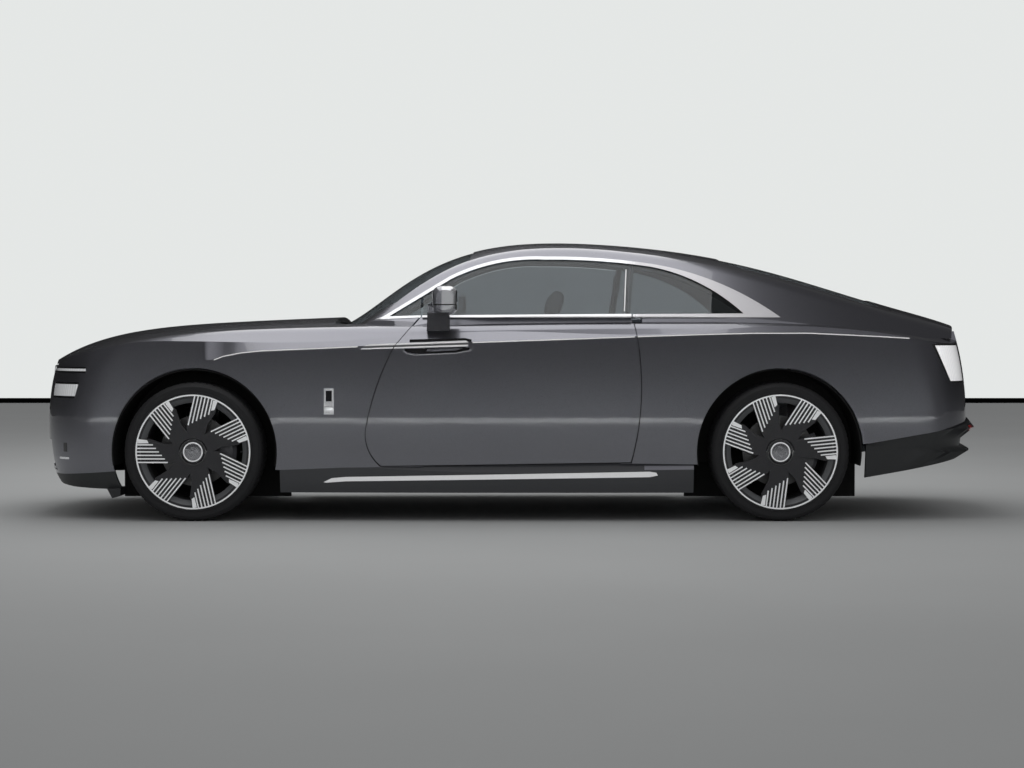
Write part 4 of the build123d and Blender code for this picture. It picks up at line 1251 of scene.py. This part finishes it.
class COUPE_OT_door_linings(bpy.types.Operator):
    """Leather door linings with arm rest, veneer, pull and speaker"""
    bl_idname = "coupe.door_linings"
    bl_label = "Door linings"

    def execute(self, context):
        y = -0.868
        outline = [(-0.700, 0.42), (-0.640, 0.395), (0.560, 0.395), (0.610, 0.45), (0.625, 0.90), (0.580, 1.075),
                   (-0.440, 1.070), (-0.560, 0.930), (-0.660, 0.700)]
        panel = plate("lining", [(x, y, z) for x, z in outline], (0, 0.010, 0))
        shape_faces(panel, lambda c, n: n.y > 0.9, lambda: bpy.ops.mesh.inset(thickness=0.030, depth=0.006))
        modify(panel, "BEVEL", width=0.003, segments=3)
        pair(panel, "door_lining", DOORS, "dark_leather")
        rest = block("rest", (-0.420, y, 0.640), (0.430, y + 0.062, 0.700), 0.022, 5)
        pair(rest, "door_arm_rest", DOORS, "leather")
        strip = block("strip", (-0.520, y + 0.012, 0.905), (0.560, y + 0.020, 0.965), 0.003, 3)
        pair(strip, "door_veneer", DOORS, "wood")
        pull = block("pull", (-0.340, y + 0.024, 0.800), (-0.180, y + 0.036, 0.818), 0.005, 4)
        pair(pull, "door_pull", DOORS, "chrome")
        speaker = lathe("speaker", [(0.0005, 0.012), (0.070, 0.012), (0.078, 0.016), (0.082, 0.010), (0.082, 0.0)],
                        (-0.480, y, 0.530), 48)
        pair(speaker, "door_speaker", DOORS, "satin")
        return {"FINISHED"}


class COUPE_OT_cabin_trim(bpy.types.Operator):
    """Carpets and roof lining"""
    bl_idname = "coupe.cabin_trim"
    bl_label = "Cabin trim"

    def execute(self, context):
        mats = []
        for x0, x1 in ((-1.050, -0.400), (0.140, 0.650)):
            for y0, y1 in ((-0.845, -0.140), (0.140, 0.845)):
                mats.append(block("mat", (x0, y0, 0.3005), (x1, y1, 0.312), 0.005, 2))
        done(joined("cabin_carpet", mats), "body", "carpet")
        roof_lining()
        return {"FINISHED"}


def roof_lining():
    """A soft lining pressed up under the roof."""
    deselect()
    bpy.ops.mesh.primitive_grid_add(x_subdivisions=30, y_subdivisions=24, size=1, location=(0.475, 0, 1.25))
    piece = bpy.context.object
    piece.name = "roof_lining"
    piece.scale = (1.24, 0.98, 1)
    settle(piece)
    modify(piece, "SHRINKWRAP", wrap_method="PROJECT", target=NODES["roof_frame"], offset=-0.006,
           use_project_z=True, use_negative_direction=False, use_positive_direction=True)
    modify(piece, "SOLIDIFY", thickness=0.004, offset=0.0)
    outward(piece)
    done(piece, "body", "lining", 40)


# ------------------------------------------------------------------ nose, tail and underside
class COUPE_OT_nose(bpy.types.Operator):
    """Corner slot and bright strip on each side of the nose"""
    bl_idname = "coupe.nose"
    bl_label = "Nose details"

    def execute(self, context):
        trim("corner_slot", ((-2.485, 0.371), (-2.485, 0.421)), (0.022, 0, 0), "front_bumper", "body",
             "gloss_black", 0.0012, 0.0012, 0.01, 2)
        trim("corner_strip", ((-2.513, 0.330), (-2.451, 0.330)), (0, 0, 0.012), "front_bumper", "body",
             "chrome", 0.0025, 0.004, 0.008, 2)
        return {"FINISHED"}


class COUPE_OT_tail(bpy.types.Operator):
    """Blank plate and reflectors of the tail"""
    bl_idname = "coupe.tail"
    bl_label = "Tail details"

    def execute(self, context):
        back = FAR_OUT + 2.0
        for name, half, z, height, lift, thick, finish in (
                ("plate_back", 0.275, 0.572, 0.126, 0.003, 0.005, "gloss_black"),
                ("blank", 0.260, 0.580, 0.110, 0.007, 0.003, "plate")):
            done(ribbon(name, ((back, -half, z), (back, half, z)), (0, 0, height), "rear_bumper", "X", lift, thick,
                        0.02, 3), "body", finish)
        mark = ribbon("mark", ((back, -0.740, 0.490), (back, -0.640, 0.490)), (0, 0, 0.026), "rear_diffuser", "X",
                      0.002, 0.004, 0.01, 1)
        pair(mark, "tail_reflector", "body", "red")
        return {"FINISHED"}


class COUPE_OT_diffuser(bpy.types.Operator):
    """Rear diffuser with its lower edge rising rearwards"""
    bl_idname = "coupe.diffuser"
    bl_label = "Diffuser"

    def execute(self, context):
        packed = NODES["rear_diffuser"]
        piece = bpy.data.objects.new("diffuser", packed.data.copy())
        bpy.context.collection.objects.link(piece)
        piece.data.transform(packed.matrix_world)
        edit(piece, lambda: bpy.ops.mesh.remove_doubles(threshold=0.00001),
             lambda: bpy.ops.mesh.bisect(plane_co=(1.952, 0, 0.234), plane_no=(-0.1715, 0, 0.9852),
                                         use_fill=True, clear_inner=True))
        outward(piece)
        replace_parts(done(piece, "body", "black"), "rear_diffuser")
        return {"FINISHED"}


class COUPE_OT_underside(bpy.types.Operator):
    """Black inner walls beside the wheels, reaching down low as painted shade under the car"""
    bl_idname = "coupe.underside"
    bl_label = "Underside"

    def execute(self, context):
        for name, x0, x1 in (("front", -2.200, -1.250), ("rear", 0.985, 1.960)):
            # the walls reach down to 0.10 m, their lower part a painted shade hiding the lit floor under the car
            wall = block("wall", (x0, -0.475, 0.100), (x1, -0.465, 0.400), 0.003)
            pair(wall, f"inner_wall_{name}", "body", "felt")
        return {"FINISHED"}


# ------------------------------------------------------------------ panel and run
class COUPE_PT_panel(bpy.types.Panel):
    bl_label = "Coupe"
    bl_idname = "COUPE_PT_panel"
    bl_space_type = "VIEW_3D"
    bl_region_type = "UI"
    bl_category = "Coupe"

    def draw(self, context):
        for settings in (context.scene.coupe_stage, context.scene.coupe_finish):
            for name in settings.__annotations__:
                self.layout.prop(settings, name)
        for operator in OPERATORS:
            self.layout.operator(operator.bl_idname)


SETTINGS = {"coupe_stage": CoupeStageSettings, "coupe_finish": CoupeFinishSettings}
OPERATORS = (
    COUPE_OT_stage, COUPE_OT_finishes, COUPE_OT_tyres, COUPE_OT_wheel_details, COUPE_OT_coach_line,
    COUPE_OT_badge, COUPE_OT_door_handles, COUPE_OT_mirrors, COUPE_OT_front_seats, COUPE_OT_rear_seat,
    COUPE_OT_steering_wheel, COUPE_OT_dashboard, COUPE_OT_door_linings, COUPE_OT_cabin_trim,
    COUPE_OT_nose, COUPE_OT_tail, COUPE_OT_diffuser, COUPE_OT_underside, COUPE_OT_window_post,
)


def register():
    for cls in (*SETTINGS.values(), *OPERATORS, COUPE_PT_panel):
        bpy.utils.register_class(cls)
    for name, cls in SETTINGS.items():
        setattr(bpy.types.Scene, name, bpy.props.PointerProperty(type=cls))


def unregister():
    for name in SETTINGS:
        delattr(bpy.types.Scene, name)
    for cls in (COUPE_PT_panel, *reversed(OPERATORS), *reversed(SETTINGS.values())):
        bpy.utils.unregister_class(cls)


def main():
    register()
    for operator in OPERATORS:
        group, name = operator.bl_idname.split(".")
        getattr(getattr(bpy.ops, group), name)()


if __name__ == "__main__":
    main()
